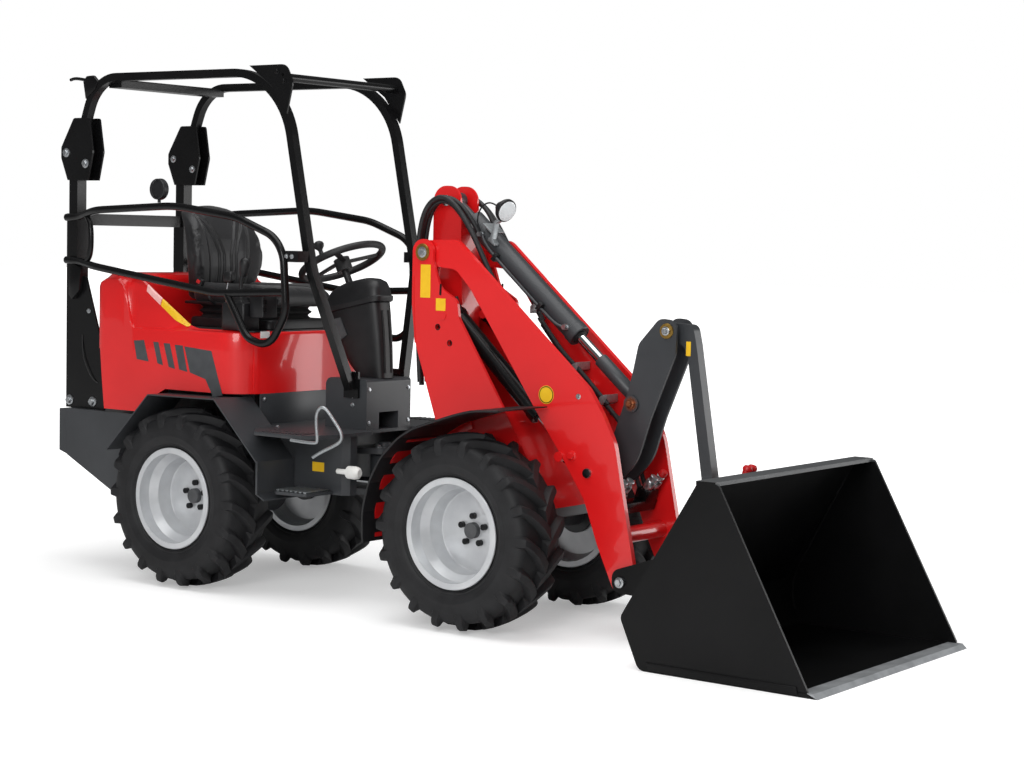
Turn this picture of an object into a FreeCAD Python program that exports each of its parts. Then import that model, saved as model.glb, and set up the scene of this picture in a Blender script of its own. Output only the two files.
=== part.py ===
# A compact articulated wheel loader with a light-material bucket, a two-post-and-hoop roll-over
# frame and side guards. Millimetres; +X points to the bucket, +Y to the machine's left, +Z up.
# Everything below is measured from the articulation pin's axis, on the ground; each finished
# sub-part is then placed so that the origin lies midway along the machine.
import FreeCAD, Part
import Sketcher
import math
import os
import re

doc = FreeCAD.newDocument("WheelLoader")
sheet = doc.addObject("Spreadsheet::Sheet", "Dims")

# Driving dimensions. Names ending in _x, _y and _z are places; _r is a radius, _w a width
# across the machine and _t a plate thickness.
SIZES = {
    # running gear
    "half_base": 745, "track_half": 382, "tyre_r": 380, "tyre_w": 264, "tread_w": 216,
    "bead_r": 196, "rim_w": 236, "rim_flange_r": 214, "rim_well_r": 172, "rim_t": 6,
    "disc_inset": 150, "disc_t": 9, "nut_circle_r": 56, "nut_r": 12, "hub_cap_r": 31,
    "axle_r": 45, "axle_box_r": 105, "hub_flange_r": 78, "wheel_gap": 0.3,
    # rear chassis and tail
    "chassis_half": 225, "chassis_t": 12, "under_z": 430, "deck_z": 686, "chassis_front_x": 110,
    "rear_x": 1595, "tail_x": 1555, "tail_z": 708, "bumper_t": 48, "tank_half": 290,
    "tank_front_x": 42, "guard_half": 512, "mudguard_t": 5,
    "mudguard_in": 290,
    # articulation
    "pin_r": 25, "ear_r": 60, "ear_t": 25, "knuckle_low_z": 456, "knuckle_top_z": 590,
    "run_gap": 6, "neck_half": 95, "neck_end_x": 262,
    # operator's place
    "floor_z": 700, "floor_t": 14, "floor_half": 528, "tunnel_half": 142, "tunnel_rear_x": 206, "tunnel_z": 908,
    "riser_x": 437, "tunnel_front_x": 18, "step_z": 450,
    # hood and engine
    "hood_half": 405, "hood_t": 6, "hood_rear_x": 1317, "hood_top_z": 1318, "ledge_z": 1085,
    "plateau_x": 1060, "wing_w": 58, "hood_low_z": 724, "lid_half": 285, "lid_t": 18, "lid_hinge_x": -1300,
    "lid_hinge_z": 1262,
    "engine_rear_x": 1070, "engine_len": 520, "engine_w": 420, "engine_high": 510,
    # roll-over frame and guards
    "post_w": 66, "post_upper_w": 53, "post_half": 360, "post_joint_z": 1570, "sleeve_len": 273,
    "sleeve_top_z": 1990, "hoop_w": 38, "hoop_depth": 34, "hoop_rise": 174, "hoop_foot_y": 168,
    "guard_r": 16, "guard_y": 422, "cross_z": 1545,
    # front frame and mast
    "mast_half": 203, "mast_t": 14, "boom_pin_x": 350, "boom_pin_z": 1437, "boom_pin_r": 24,
    "mast_ear_r": 52, "inner_ear_half": 156, "column_half": 60, "column_rear_x": 286,
    "column_front_x": 424, "crown_pin_x": 355, "crown_pin_z": 1645, "crown_pin_r": 16, "crown_t": 10,
    "ram_pin_x": 455, "ram_pin_z": 1190, "front_plate_x": 1007, "front_plate_z": 470,
    "fender_r": 426, "fender_t": 5,
    # boom and linkage pins, with the bucket flat on the ground
    "boom_half": 184, "boom_t": 22, "bucket_pin_x": 1326, "bucket_pin_z": 227,
    "bucket_pin_r": 20, "rod_pin_x": 1020, "rod_pin_z": 673, "lever_pin_x": 1150,
    "lever_pin_z": 620, "mid_pin_x": 1262, "mid_pin_z": 883, "top_pin_x": 1410,
    "top_pin_z": 1165, "link_pin_x": 1580, "link_pin_z": 560, "link_pin_r": 16,
    "lever_half": 61, "lever_t": 12, "link_w": 46, "link_depth": 44,
    # rams
    "lift_y": 108, "lift_bore_r": 36, "lift_rod_r": 17, "lift_case": 560, "tilt_bore_r": 44,
    "tilt_rod_r": 20, "tilt_case": 810, "eye_w": 50, "steer_y": 150, "steer_z": 497,
    "steer_base_x": 360, "steer_end_x": 90,
    "steer_bore_r": 26, "steer_rod_r": 13, "pin_gap": 0.4, "seat_gap": 0.3,
    # bucket and its carrier
    "bucket_half": 586, "bucket_t": 10, "bucket_back_x": 1576, "bucket_back_z": 179,
    "bucket_heel_x": 1658, "bucket_top_x": 1882, "bucket_top_z": 684,
    "lip_x": 2362, "lip_t": 16, "lip_w": 205, "carrier_half": 330, "carrier_in": 190,
    "carrier_off": 68, "carrier_bar_up": 284,
    # seat and controls
    "seat_half": 225, "seat_z": 1265, "wheel_rim_r": 178, "wheel_tube_r": 15,
}
for row, (name, number) in enumerate(SIZES.items(), start=1):
    sheet.set(f"A{row}", name)
    sheet.set(f"B{row}", str(number))
    sheet.setAlias(f"B{row}", name)
doc.recompute()

NODES = []
ALONG = {}
Vector = FreeCAD.Vector


def cells(text):
    """An expression with each dimension's name turned into its cell in the sheet."""
    return re.sub(r"[a-z_]\w*", lambda word: "Dims." + word[0] if word[0] in SIZES else word[0],
                  str(text))


def size(text):
    """The number that an expression of dimensions stands for."""
    answer = sheet.evalExpression(cells(text))
    return float(getattr(answer, "Value", answer))


def bind(thing, **places):
    """Bind properties to expressions; x, y and z stand for the placement."""
    ALONG[thing.Name] = places.get("x", ALONG.get(thing.Name, "0"))
    for name, text in places.items():
        path = "Placement.Base." + name if name in ("x", "y", "z") else name
        thing.setExpression(path, cells(text))
    return thing


def node(thing, label):
    """Name a finished sub-part and place it from the articulation pin to the shared origin."""
    thing.Label = label
    bind(thing, x=f"{ALONG.get(thing.Name, '0')} + (rear_x - lip_x) / 2")
    NODES.append(thing)
    return thing


def trace(sketch, outline):
    """Draw a closed outline; a corner's third value is the radius that rounds it."""
    corners = [Vector(size(c[0]), size(c[1]), 0) for c in outline]
    radii = [size(c[2]) if len(c) > 2 else 0 for c in outline]
    count = len(corners)
    arrive, leave, turn = [], [], []
    for i, corner in enumerate(corners):
        back = (corners[i - 1] - corner).normalize()
        ahead = (corners[(i + 1) % count] - corner).normalize()
        half = back.getAngle(ahead) / 2
        reach = radii[i] / math.tan(half) if radii[i] else 0
        arrive.append(corner + back * reach)
        leave.append(corner + ahead * reach)
        to_centre = (back + ahead) * (reach / (1 + math.cos(2 * half))) if radii[i] else back
        turn.append((ahead.cross(back).z > 0, corner + to_centre))
    lines = [sketch.addGeometry(Part.LineSegment(leave[i - 1], arrive[i]), False)
             for i in range(count)]
    for i, (x, z) in enumerate((c[0], c[1]) for c in outline):
        line, following = lines[i], lines[(i + 1) % count]
        if not radii[i]:
            sketch.addConstraint(Sketcher.Constraint("Coincident", line, 2, following, 1))
            fix(sketch, line, 2, x, z)
            continue
        left_turn, centre = turn[i]
        first, last = (arrive[i], leave[i]) if left_turn else (leave[i], arrive[i])
        angles = [math.atan2(p.y - centre.y, p.x - centre.x) for p in (first, last)]
        circle = Part.Circle(centre, Vector(0, 0, 1), radii[i])
        arc = sketch.addGeometry(Part.ArcOfCircle(circle, *angles), False)
        start, end = (1, 2) if left_turn else (2, 1)
        sketch.addConstraint(Sketcher.Constraint("Tangent", line, 2, arc, start))
        sketch.addConstraint(Sketcher.Constraint("Tangent", arc, end, following, 1))
        rounded = sketch.addConstraint(Sketcher.Constraint("Radius", arc, radii[i]))
        sketch.setExpression(f"Constraints[{rounded}]", cells(outline[i][2]))
        corner = sketch.addGeometry(Part.Point(corners[i]), True)
        fix(sketch, corner, 1, x, z)
        sketch.addConstraint(Sketcher.Constraint("PointOnObject", corner, 1, line))
        sketch.addConstraint(Sketcher.Constraint("PointOnObject", corner, 1, following))


def fix(sketch, item, end, x, z):
    """Hold one point of a sketch at a place given by two expressions."""
    for axis, text in (("DistanceX", x), ("DistanceY", z)):
        held = sketch.addConstraint(Sketcher.Constraint(axis, -1, 1, item, end, size(text)))
        sketch.setExpression(f"Constraints[{held}]", cells(text))


def drawn(body, plane, outline, holes=()):
    """A sketch on one of the body's own origin planes: an outline and round holes."""
    sketch = body.newObject("Sketcher::SketchObject", body.Name + "_sketch")
    support = next(f for f in body.Origin.OriginFeatures if f.Role == plane)
    sketch.AttachmentSupport = [(support, "")]
    sketch.MapMode = "FlatFace"
    trace(sketch, outline)
    for x, z, radius in holes:
        centre = Vector(size(x), size(z), 0)
        hole = sketch.addGeometry(Part.Circle(centre, Vector(0, 0, 1), size(radius)), False)
        fix(sketch, hole, 3, x, z)
        bored = sketch.addConstraint(Sketcher.Constraint("Radius", hole, size(radius)))
        sketch.setExpression(f"Constraints[{bored}]", cells(radius))
    return sketch


def slab(name, plane, outline, low, high, holes=()):
    """An outline on a body's plane, padded between two places along the plane's normal."""
    body = doc.addObject("PartDesign::Body", name)
    sketch = drawn(body, plane, outline, holes)
    pad = body.newObject("PartDesign::Pad", body.Name + "_pad")
    pad.Profile = sketch
    pad.Midplane = True
    bind(pad, Length=f"({high}) - ({low})")
    along = {"XZ_Plane": "y", "XY_Plane": "z", "YZ_Plane": "x"}[plane]
    bind(body, **{along: f"(({low}) + ({high})) / 2"})
    body.Tip = pad
    return body


def plate(name, outline, low, high, holes=()):
    """A piece cut to a side outline (x, z) and standing between two y places."""
    return slab(name, "XZ_Plane", outline, low, high, holes)


def turned(name, profile, x, y, z, out="1"):
    """A piece turned about a cross-wise axis from a (radius, y) half section."""
    body = doc.addObject("PartDesign::Body", name)
    sketch = drawn(body, "XY_Plane", [(r, f"({h}) * ({out})", *rest) for r, h, *rest in profile])
    turning = body.newObject("PartDesign::Revolution", body.Name + "_turn")
    turning.Profile = sketch
    turning.ReferenceAxis = (sketch, ["V_Axis"])
    turning.Angle = 360
    body.Tip = turning
    return bind(body, x=x, y=y, z=z)


def block(name, x0, x1, y0, y1, z0, z1):
    """A plain rectangular block between three pairs of places."""
    box = doc.addObject("Part::Box", name)
    return bind(box, Length=f"({x1}) - ({x0})", Width=f"({y1}) - ({y0})",
                Height=f"({z1}) - ({z0})", x=x0, y=y0, z=z0)


def crossbar(name, x, z, y0, y1, radius):
    """A round bar or pin lying across the machine."""
    bar = doc.addObject("Part::Cylinder", name)
    bar.Placement = FreeCAD.Placement(Vector(), FreeCAD.Rotation(Vector(1, 0, 0), -90))
    return bind(bar, Radius=radius, Height=f"({y1}) - ({y0})", x=x, y=y0, z=z)


def upright(name, x, y, z0, z1, radius):
    """A round bar or pin standing upright."""
    return bind(doc.addObject("Part::Cylinder", name), Radius=radius, Height=f"({z1}) - ({z0})",
                x=x, y=y, z=z0)


def strut(name, tail, head, y, start, end, radius):
    """A round bar on the line from one pin to another, between two distances from the first."""
    run, rise = f"({head[0]} - {tail[0]})", f"({head[1]} - {tail[1]})"
    length = f"sqrt({run}^2 + {rise}^2)"
    end = end.replace("reach", length)
    bar = doc.addObject("Part::Cylinder", name)
    bar.Placement = FreeCAD.Placement(Vector(), FreeCAD.Rotation(Vector(0, 1, 0), 90))
    bar.setExpression("Placement.Rotation.Angle", cells(f"atan2({run}; {rise})"))
    return bind(bar, Radius=radius, Height=f"({end}) - ({start})", y=y,
                x=f"{tail[0]} + {run} * ({start}) / {length}",
                z=f"{tail[1]} + {rise} * ({start}) / {length}")


def joined(name, *pieces):
    """Pieces welded into one solid."""
    weld = doc.addObject("Part::MultiFuse", name)
    weld.Shapes = list(pieces)
    weld.Refine = True
    return weld


def beside(name, *pieces):
    """Like pieces that don't touch and share one sub-part."""
    group = doc.addObject("Part::Compound", name)
    group.Links = list(pieces)
    return group


def cut(name, stock, *tools):
    """A piece with others taken out of it."""
    removed = doc.addObject("Part::Cut", name)
    removed.Base = stock
    removed.Tool = tools[0] if len(tools) == 1 else beside(name + "_tools", *tools)
    return removed


def mirrored(piece):
    """The same piece on the machine's other side."""
    twin = doc.addObject("Part::Mirroring", piece.Name + "_twin")
    twin.Source = piece
    twin.Base = Vector(0, 0, 0)
    twin.Normal = Vector(0, 1, 0)
    return twin


def both(name, piece):
    """A piece and its mirror image, apart from each other."""
    return beside(name, piece, mirrored(piece))


def bent(name, route, radius, section):
    """A tube along straight runs joined by arcs; the section is (width, depth) or (radius,)."""
    points = [Vector(*(size(c) for c in point[:3])) for point in route]
    bends = [size(point[3]) if len(point) > 3 else size(radius) for point in route]
    edges, last = [], points[0]
    for before, corner, after, bend in zip(points, points[1:], points[2:], bends[1:]):
        back, ahead = (before - corner).normalize(), (after - corner).normalize()
        half = back.getAngle(ahead) / 2
        reach = bend / math.tan(half)
        start, end = corner + back * reach, corner + ahead * reach
        inner = (back + ahead).normalize() * (bend / math.sin(half) - bend)
        edges += [Part.makeLine(last, start), Part.Arc(start, corner + inner, end).toShape()]
        last = end
    edges.append(Part.makeLine(last, points[-1]))
    along = (points[1] - points[0]).normalize()
    if len(section) == 1:
        outline = Part.Wire(Part.makeCircle(size(section[0]), points[0], along))
    else:
        across = Vector(0, size(section[0]) / 2, 0)
        deep = along.cross(Vector(0, 1, 0)).normalize() * (size(section[1]) / 2)
        outline = Part.makePolygon([points[0] + across + deep, points[0] - across + deep,
                                    points[0] - across - deep, points[0] + across - deep,
                                    points[0] + across + deep])
    tube = doc.addObject("Part::Feature", name)
    tube.Shape = Part.Wire(edges).makePipeShell([outline], True, True)
    return tube


# ---- wheels and tyres -------------------------------------------------------------------
# Four equal wheels: a turned rim with a dished disc, five nuts and a hub cap, and a tyre whose
# carcass reaches out to the lugs' tips.
def wheel(place, x, side):
    y = f"{side} * track_half"
    half = "rim_w / 2"
    face = f"{half} - disc_inset"
    flange, seat = "rim_flange_r", "bead_r - seat_gap"
    rim = turned(f"rim_{place}", [
        (flange, half, 3), (flange, f"{half} - 8", 3), (seat, f"{half} - 14"),
        (seat, f"{half} - 52"), ("rim_well_r", f"{half} - 84"),
        ("rim_well_r", f"-{half} + 84"), (seat, f"-{half} + 52"), (seat, f"-{half} + 14"),
        (flange, f"-{half} + 8", 3), (flange, f"-{half}", 3),
        (f"{seat} - rim_t", f"-{half}"), (f"{seat} - rim_t", f"-{half} + 54"),
        ("rim_well_r - rim_t", f"{face} - disc_t"),
        ("0", f"{face} - disc_t"), ("0", f"{face} + 26"), ("hub_cap_r", f"{face} + 26", 4),
        ("hub_cap_r", face, 1), ("rim_well_r - rim_t - 10", face, 6),
        ("rim_well_r - rim_t", f"{half} - 86"), (f"{seat} - rim_t", f"{half} - 54"),
        (f"{seat} - rim_t", half)], x, y, "tyre_r", side)
    nuts = []
    for turn in range(5):
        angle = 90 + 72 * turn
        nuts.append(crossbar(f"nut_{place}_{turn}", f"{x} + nut_circle_r * cos({angle})",
                             f"tyre_r + nut_circle_r * sin({angle})",
                             f"{y} + {side} * ({face} + 8) - 9", f"{y} + {side} * ({face} + 8) + 9",
                             "nut_r"))
    node(joined(f"wheel_{place}", rim, *nuts), f"wheel_{place}")
    tyre = turned(f"tyre_{place}", [
        ("bead_r", "-rim_w / 2 + 18"), ("rim_flange_r + 3", "-rim_w / 2 + 10"),
        ("(bead_r + tyre_r) / 2", "-tyre_w / 2", 60), ("tyre_r - 14", "-tread_w / 2 - 10", 24),
        ("tyre_r", "-tread_w / 4"), ("tyre_r", "tread_w / 4"),
        ("tyre_r - 14", "tread_w / 2 + 10", 24), ("(bead_r + tyre_r) / 2", "tyre_w / 2", 60),
        ("rim_flange_r + 3", "rim_w / 2 - 10"), ("bead_r", "rim_w / 2 - 18")], x, y, "tyre_r")
    node(tyre, f"tyre_{place}")


for place, x, side in (("front_left", "half_base", "1"), ("front_right", "half_base", "-1"),
                       ("rear_left", "-half_base", "1"), ("rear_right", "-half_base", "-1")):
    wheel(place, x, side)

# ---- axles ------------------------------------------------------------------------------
# Each axle is a tube with a round gearbox in the middle, a flange behind each wheel disc and
# two pads that bolt up to the frame.
for name, x in (("front_axle", "half_base"), ("rear_axle", "-half_base")):
    flange_y = "track_half + rim_w / 2 - disc_inset - disc_t - wheel_gap"
    tube = crossbar(f"{name}_tube", x, "tyre_r", f"14 - ({flange_y})", f"{flange_y} - 14", "axle_r")
    box = crossbar(f"{name}_box", x, "tyre_r", "-axle_box_r", "axle_box_r", "axle_box_r")
    flange = crossbar(f"{name}_flange", x, "tyre_r", f"{flange_y} - 16", flange_y, "hub_flange_r")
    pad = block(f"{name}_pad", f"{x} - 70", f"{x} + 70", "chassis_half - 75", "chassis_half - 15",
                "tyre_r", "under_z")
    trimmed = cut(f"{name}_trim", box, block(f"{name}_room", f"{x} - 200", f"{x} + 200",
                                             "-200", "200", "under_z", "under_z + 200"))
    node(joined(name, tube, trimmed, flange, mirrored(flange), pad, mirrored(pad)), name)

# ---- rear chassis -----------------------------------------------------------------------
# A welded trough of plate from the tail to the articulation, open on top, with two pairs of
# ears that hold the pin from outside the front frame's knuckle.
trough = plate("trough", [("-tail_x + bumper_t + 60", "under_z + 60"), ("-half_base - 330", "under_z"),
                          ("-chassis_front_x", "under_z"), ("-chassis_front_x", "deck_z"),
                          ("-tail_x + bumper_t + 60", "deck_z")], "-chassis_half", "chassis_half")
hollow = plate("trough_hollow", [
    ("-tail_x + bumper_t + 60 + chassis_t", "under_z + 60 + chassis_t"),
    ("-half_base - 330", "under_z + chassis_t"), ("-chassis_front_x - chassis_t", "under_z + chassis_t"),
    ("-chassis_front_x - chassis_t", "deck_z + 50"), ("-tail_x + bumper_t + 60 + chassis_t", "deck_z + 50")],
    "-chassis_half + chassis_t", "chassis_half - chassis_t")
ears = []
for level, low in (("upper", "knuckle_top_z + run_gap"), ("lower", "knuckle_low_z - run_gap - ear_t")):
    ears.append(slab(f"ear_{level}", "XY_Plane", [
        ("-chassis_front_x - 2", "-130"), ("ear_r", "-ear_r", "ear_r - 1"),
        ("ear_r", "ear_r", "ear_r - 1"), ("-chassis_front_x - 2", "130")], low, f"{low} + ear_t"))
pin = upright("pivot_pin", "0", "0", "knuckle_low_z - run_gap - ear_t - 20",
              "knuckle_top_z + run_gap + ear_t + 20", "pin_r")
ram_window = block("ram_window", "-chassis_front_x - chassis_t - 3", "-chassis_front_x + 3",
                   "-chassis_half + chassis_t", "-80",
                   "steer_z - 34", "steer_z + 34")
ram_shelf = block("ram_shelf", "-steer_base_x - 45", "-steer_base_x + 45", "-chassis_half + 4", "-steer_y + 40",
                  "steer_z - 42", "steer_z - 28")
ram_post = upright("ram_post", "-steer_base_x", "-steer_y", "steer_z - 30", "steer_z + 26", "11")
node(joined("rear_chassis_solid", cut("open_trough", trough, hollow, ram_window), *ears, pin, ram_shelf,
            ram_post), "rear_chassis")

# ---- tail weight and bumper -------------------------------------------------------------
tail = plate("tail_block", [
    ("-tail_x + bumper_t + seat_gap", "tail_z"), ("-tail_x + bumper_t + seat_gap", "502"),
    ("-half_base - 468", "362"), ("-half_base - 427", "362"), ("-half_base - 427", "530"),
    ("-half_base - 317", "tail_z")], "-hood_half + 5", "hood_half - 5")
tail_room = block("tail_room", "-tail_x + bumper_t + 60 - seat_gap", "-900", "-chassis_half - seat_gap",
                  "chassis_half + seat_gap", "300", "tail_z + 10")
node(cut("tail_weight_body", tail, tail_room), "tail_weight")
bumper = plate("rear_bumper", [
    ("-tail_x", "704"), ("-tail_x", "518"), ("-tail_x + bumper_t", "504"),
    ("-tail_x + bumper_t", "704")], "-hood_half + 5", "hood_half - 5")
node(bumper, "rear_bumper")

# ---- tow hitch: a clevis under the bumper with its drop pin ------------------------------
jaws = []
for level, low in (("upper", "455"), ("lower", "385")):
    jaws.append(block(f"hitch_{level}", "-tail_x + 8", "-1406", "-45", "45", low, f"{low} + 14"))
hitch_back = block("hitch_back", "-1446.7", "-1406", "-45", "45", "385", "482.8")
hitch = joined("hitch_body", *jaws, hitch_back)
bore = upright("hitch_bore", "-tail_x + 45", "0", "370", "490", "12.5")
node(cut("hitch_bored", hitch, bore), "tow_hitch")

# ---- engine and drive block -------------------------------------------------------------
node(block("engine", "-engine_rear_x", "-engine_rear_x + engine_len", "-engine_w / 2 + 5",
           "engine_w / 2 - 5", "under_z + chassis_t + seat_gap",
           "under_z + chassis_t + engine_high"), "engine_block")

# ---- hood -------------------------------------------------------------------------------
# One moulding over the engine: a tall plateau behind the seat, a sloping wing down each side
# of it and a low ledge that the seat stands on; open underneath and at the back.
hood_outline = [("-1267", "hood_low_z"), ("-hood_rear_x", "hood_top_z", 60),
                ("-plateau_x", "hood_top_z", 34), ("-plateau_x + 6", "ledge_z"),
                ("-riser_x - 8 - seat_gap", "ledge_z", 8), ("-riser_x - 8 - seat_gap", "828"), ("-975", "828"),
                ("-1062", "hood_low_z")]
hood_room = [("-1257", "hood_low_z - 50"), ("-hood_rear_x + hood_t", "hood_top_z - hood_t", 54),
             ("-plateau_x - hood_t", "hood_top_z - hood_t", 28), ("-plateau_x - hood_t", "ledge_z - hood_t"),
             ("-riser_x - 8 - hood_t", "ledge_z - hood_t", 6), ("-riser_x - 8 - hood_t", "828 - 50"),
             ("-975", "828 - 50"), ("-1062 - hood_t", "hood_low_z - 50")]
skin = plate("hood_skin", hood_outline, "-hood_half", "hood_half")
wing = plate("hood_wing", [("-plateau_x - 10", "hood_top_z - 22"), ("-732", "1104"),
                           ("-720", "ledge_z - 3"), ("-plateau_x - 10", "ledge_z - 3")],
             "hood_half - wing_w", "hood_half")
inside = plate("hood_inside", hood_room, "-hood_half + hood_t", "hood_half - hood_t")
rear_gap = block("hood_rear_gap", "-hood_rear_x - 40", "-1230", "-lid_half - 3", "lid_half + 3",
                 "hood_low_z - 20", "lid_hinge_z + 12")
hood = cut("hood_shell", joined("hood_solid", skin, wing, mirrored(wing)), inside, rear_gap)
node(hood, "hood")

# the engine lid closes the hood's back and swings up on its top edge
lid = plate("lid", [("-1268", "730"), ("-1268 + lid_t", "730"), ("lid_hinge_x + 6", "lid_hinge_z"),
                    ("lid_hinge_x - 12", "lid_hinge_z")], "-lid_half", "lid_half")
hinge_rod = crossbar("lid_hinge", "lid_hinge_x", "lid_hinge_z", "-lid_half - 3 + seat_gap",
                     "lid_half + 3 - seat_gap", "8")
node(joined("lid_solid", lid, hinge_rod), "engine_lid")

# ---- seat platform, riser, tunnel and floor ----------------------------------------------
riser = block("riser", "-riser_x - 8", "-riser_x", "-mudguard_in + seat_gap", "mudguard_in - seat_gap",
              "floor_z - floor_t", "830")
wall = block("console_wall", "-riser_x - 8", "-riser_x", "-hood_half", "hood_half", "828", "ledge_z + 1")
platform = block("platform", "-1040", "-riser_x", "-hood_half + wing_w + seat_gap",
                 "hood_half - wing_w - seat_gap", "ledge_z + seat_gap", "ledge_z + 7")
node(joined("console_solid", riser, wall, platform), "seat_console")

tunnel = plate("tunnel", [("-tunnel_rear_x", "floor_z"), ("-tunnel_rear_x", "tunnel_z", 30),
                          ("tunnel_front_x", "tunnel_z", 16), ("tunnel_front_x", "floor_z")],
               "-tunnel_half", "tunnel_half")
mouth = block("tunnel_mouth", "-90", "tunnel_front_x + 9", "-62", "62", "floor_z - 9", "floor_z + 70")
node(cut("tunnel_body", tunnel, mouth), "pedestal")

half_plan = [("-riser_x + seat_gap", "mudguard_in - seat_gap"), ("-358", "mudguard_in - seat_gap"),
             ("-358", "400"), ("-262", "guard_half - 3"), ("-258", "floor_half - 14"),
             ("4", "floor_half", 16), ("76", "384", 30), ("70", "tunnel_half + 18", 10),
             ("tunnel_front_x + 4", "tunnel_half + 8", 10)]
other_half = [(x, f"-({y})", *rest) for x, y, *rest in reversed(half_plan)]
node(slab("floor_plate", "XY_Plane", half_plan + other_half, "floor_z - floor_t", "floor_z"),
     "floorboards")
tank_plan = [("-238", "chassis_half"), ("tank_front_x", "chassis_half"), ("tank_front_x", "tank_half - 24"),
             ("tank_front_x - 26", "tank_half"), ("-238", "tank_half")]
node(both("side_tanks_pair", slab("side_tank", "XY_Plane", tank_plan, "under_z + 12",
                                  "floor_z - floor_t")), "side_tanks")
tread = slab("tread_bar", "XY_Plane", [("-205", "tank_half"), ("-30", "tank_half"), ("-40", "444", 20),
                                       ("-205", "462", 20)], "step_z - 6", "step_z + 6")
node(both("low_steps_pair", tread), "low_steps")

# ---- rear mudguards: folded sheet from the tail over the wheel to the floor ---------------
fold = [("-half_base - 387", "560"), ("-half_base - 335", "612"), ("-half_base - 135", "812"),
        ("-half_base + 255", "816"), ("-246", "574"), ("-246", "445"), ("-204", "424")]
under = [("-204", "424 - mudguard_t"), ("-246 - mudguard_t", "442"), ("-246 - mudguard_t", "571"),
         ("-half_base + 253", "816 - mudguard_t"), ("-half_base - 133", "812 - mudguard_t"),
         ("-half_base - 331", "609"), ("-half_base - 383", "557")]
node(both("rear_mudguards_pair", plate("rear_mudguard", fold + under, "mudguard_in",
                                       "guard_half")), "rear_mudguards")

# ---- roll-over frame: posts, hoops, cross members, guards --------------------------------
post = block("post_low", "-tail_x - 3", "-tail_x - 3 + post_w", "post_half - post_w", "post_half",
             "tail_z", "post_joint_z")
upper = block("post_high", "-tail_x - 3 + 6", "-tail_x + 3 + post_upper_w", "post_half - post_w + 6",
              "post_half - post_w + 6 + post_upper_w", "post_joint_z - 1", "sleeve_top_z - sleeve_len + 60")
foot = plate("post_foot", [("-tail_x - 3", "tail_z"), ("-1311", "tail_z"), ("-1330", "1000"),
                           ("-1430", "1290"), ("-tail_x - 3", "1330")], "post_half - 9", "post_half")
bar = block("post_tie", "-tail_x + 5", "-tail_x + 50", "-post_half + 20", "post_half - 20",
            "cross_z - 26", "cross_z + 26")
node(joined("rops_posts", post, upper, foot, mirrored(post), mirrored(upper), mirrored(foot), bar),
     "rops_posts")

sleeve_outline = [("-1553", "sleeve_top_z - sleeve_len"), ("-rear_x", "1815", 20), ("-rear_x", "1862", 20),
                  ("-1515", "sleeve_top_z", 18),
                  ("-1418", "sleeve_top_z", 12), ("-1392", "1841", 30), ("-1423", "sleeve_top_z - sleeve_len")]
hoop_y = "post_half - 6 - hoop_w / 2"
post_in = "post_half - post_w + 6"
sleeve = plate("sleeve_outer", sleeve_outline, f"{post_in} + post_upper_w + seat_gap", "post_half + 3")
sleeve_in = plate("sleeve_inner", sleeve_outline, f"{post_in} - 9", f"{post_in} - seat_gap")
sleeve_pad = block("sleeve_pad", "-1495", "-1461", f"{post_in} - 1", f"{hoop_y} - hoop_w / 2 + 1",
                   "sleeve_top_z - sleeve_len + 75", "sleeve_top_z - sleeve_len + 200")
hoop = bent("hoop", [
    ("-1478", hoop_y, "sleeve_top_z - sleeve_len + 70"), ("-1470", hoop_y, "sleeve_top_z - 30", 300),
    ("-1392", hoop_y, "sleeve_top_z + hoop_rise", 190), ("-290", hoop_y, "sleeve_top_z + hoop_rise - 6", 330),
    ("-122", hoop_y, "1355", 260), ("-48", "hoop_foot_y", "tunnel_z - 40")], "200",
    ("hoop_w", "hoop_depth"))
hoop_foot = plate("hoop_foot", [("-98", "tunnel_z - 78"), ("-20", "tunnel_z - 78"), ("-20", "tunnel_z + 30"),
                                ("-98", "tunnel_z + 30")], "tunnel_half + 0.5", "tunnel_half + 12")
node(both("hoops_pair", joined("hoop_side", sleeve, sleeve_in, sleeve_pad, hoop, hoop_foot)),
     "rops_hoops")

cross_half = f"{hoop_y} - hoop_w / 2 - seat_gap"
front_tie = crossbar("front_tie", "-270", "sleeve_top_z + hoop_rise - 31", "-post_half + 6", "post_half - 6", "17")
rear_tie = block("rear_tie", "-1340", "-1262", f"-({cross_half})", cross_half,
                 "sleeve_top_z + hoop_rise - 44", "sleeve_top_z + hoop_rise - 14")
crown_z = "sleeve_top_z + hoop_rise"
gusset = plate("gusset", [("-455", f"{crown_z} + 21"), ("-250", f"{crown_z} + 21", 46), ("-212", f"{crown_z} - 54", 40),
                          ("-244", f"{crown_z} - 179"), ("-330", f"{crown_z} - 64")],
               "post_half - 6 + seat_gap", "post_half + 2", [("-268", f"{crown_z} - 22", "6")])
node(both("gussets_pair", gusset), "rops_gussets")
node(beside("rops_ties", front_tie, rear_tie), "rops_cross_members")

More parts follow.
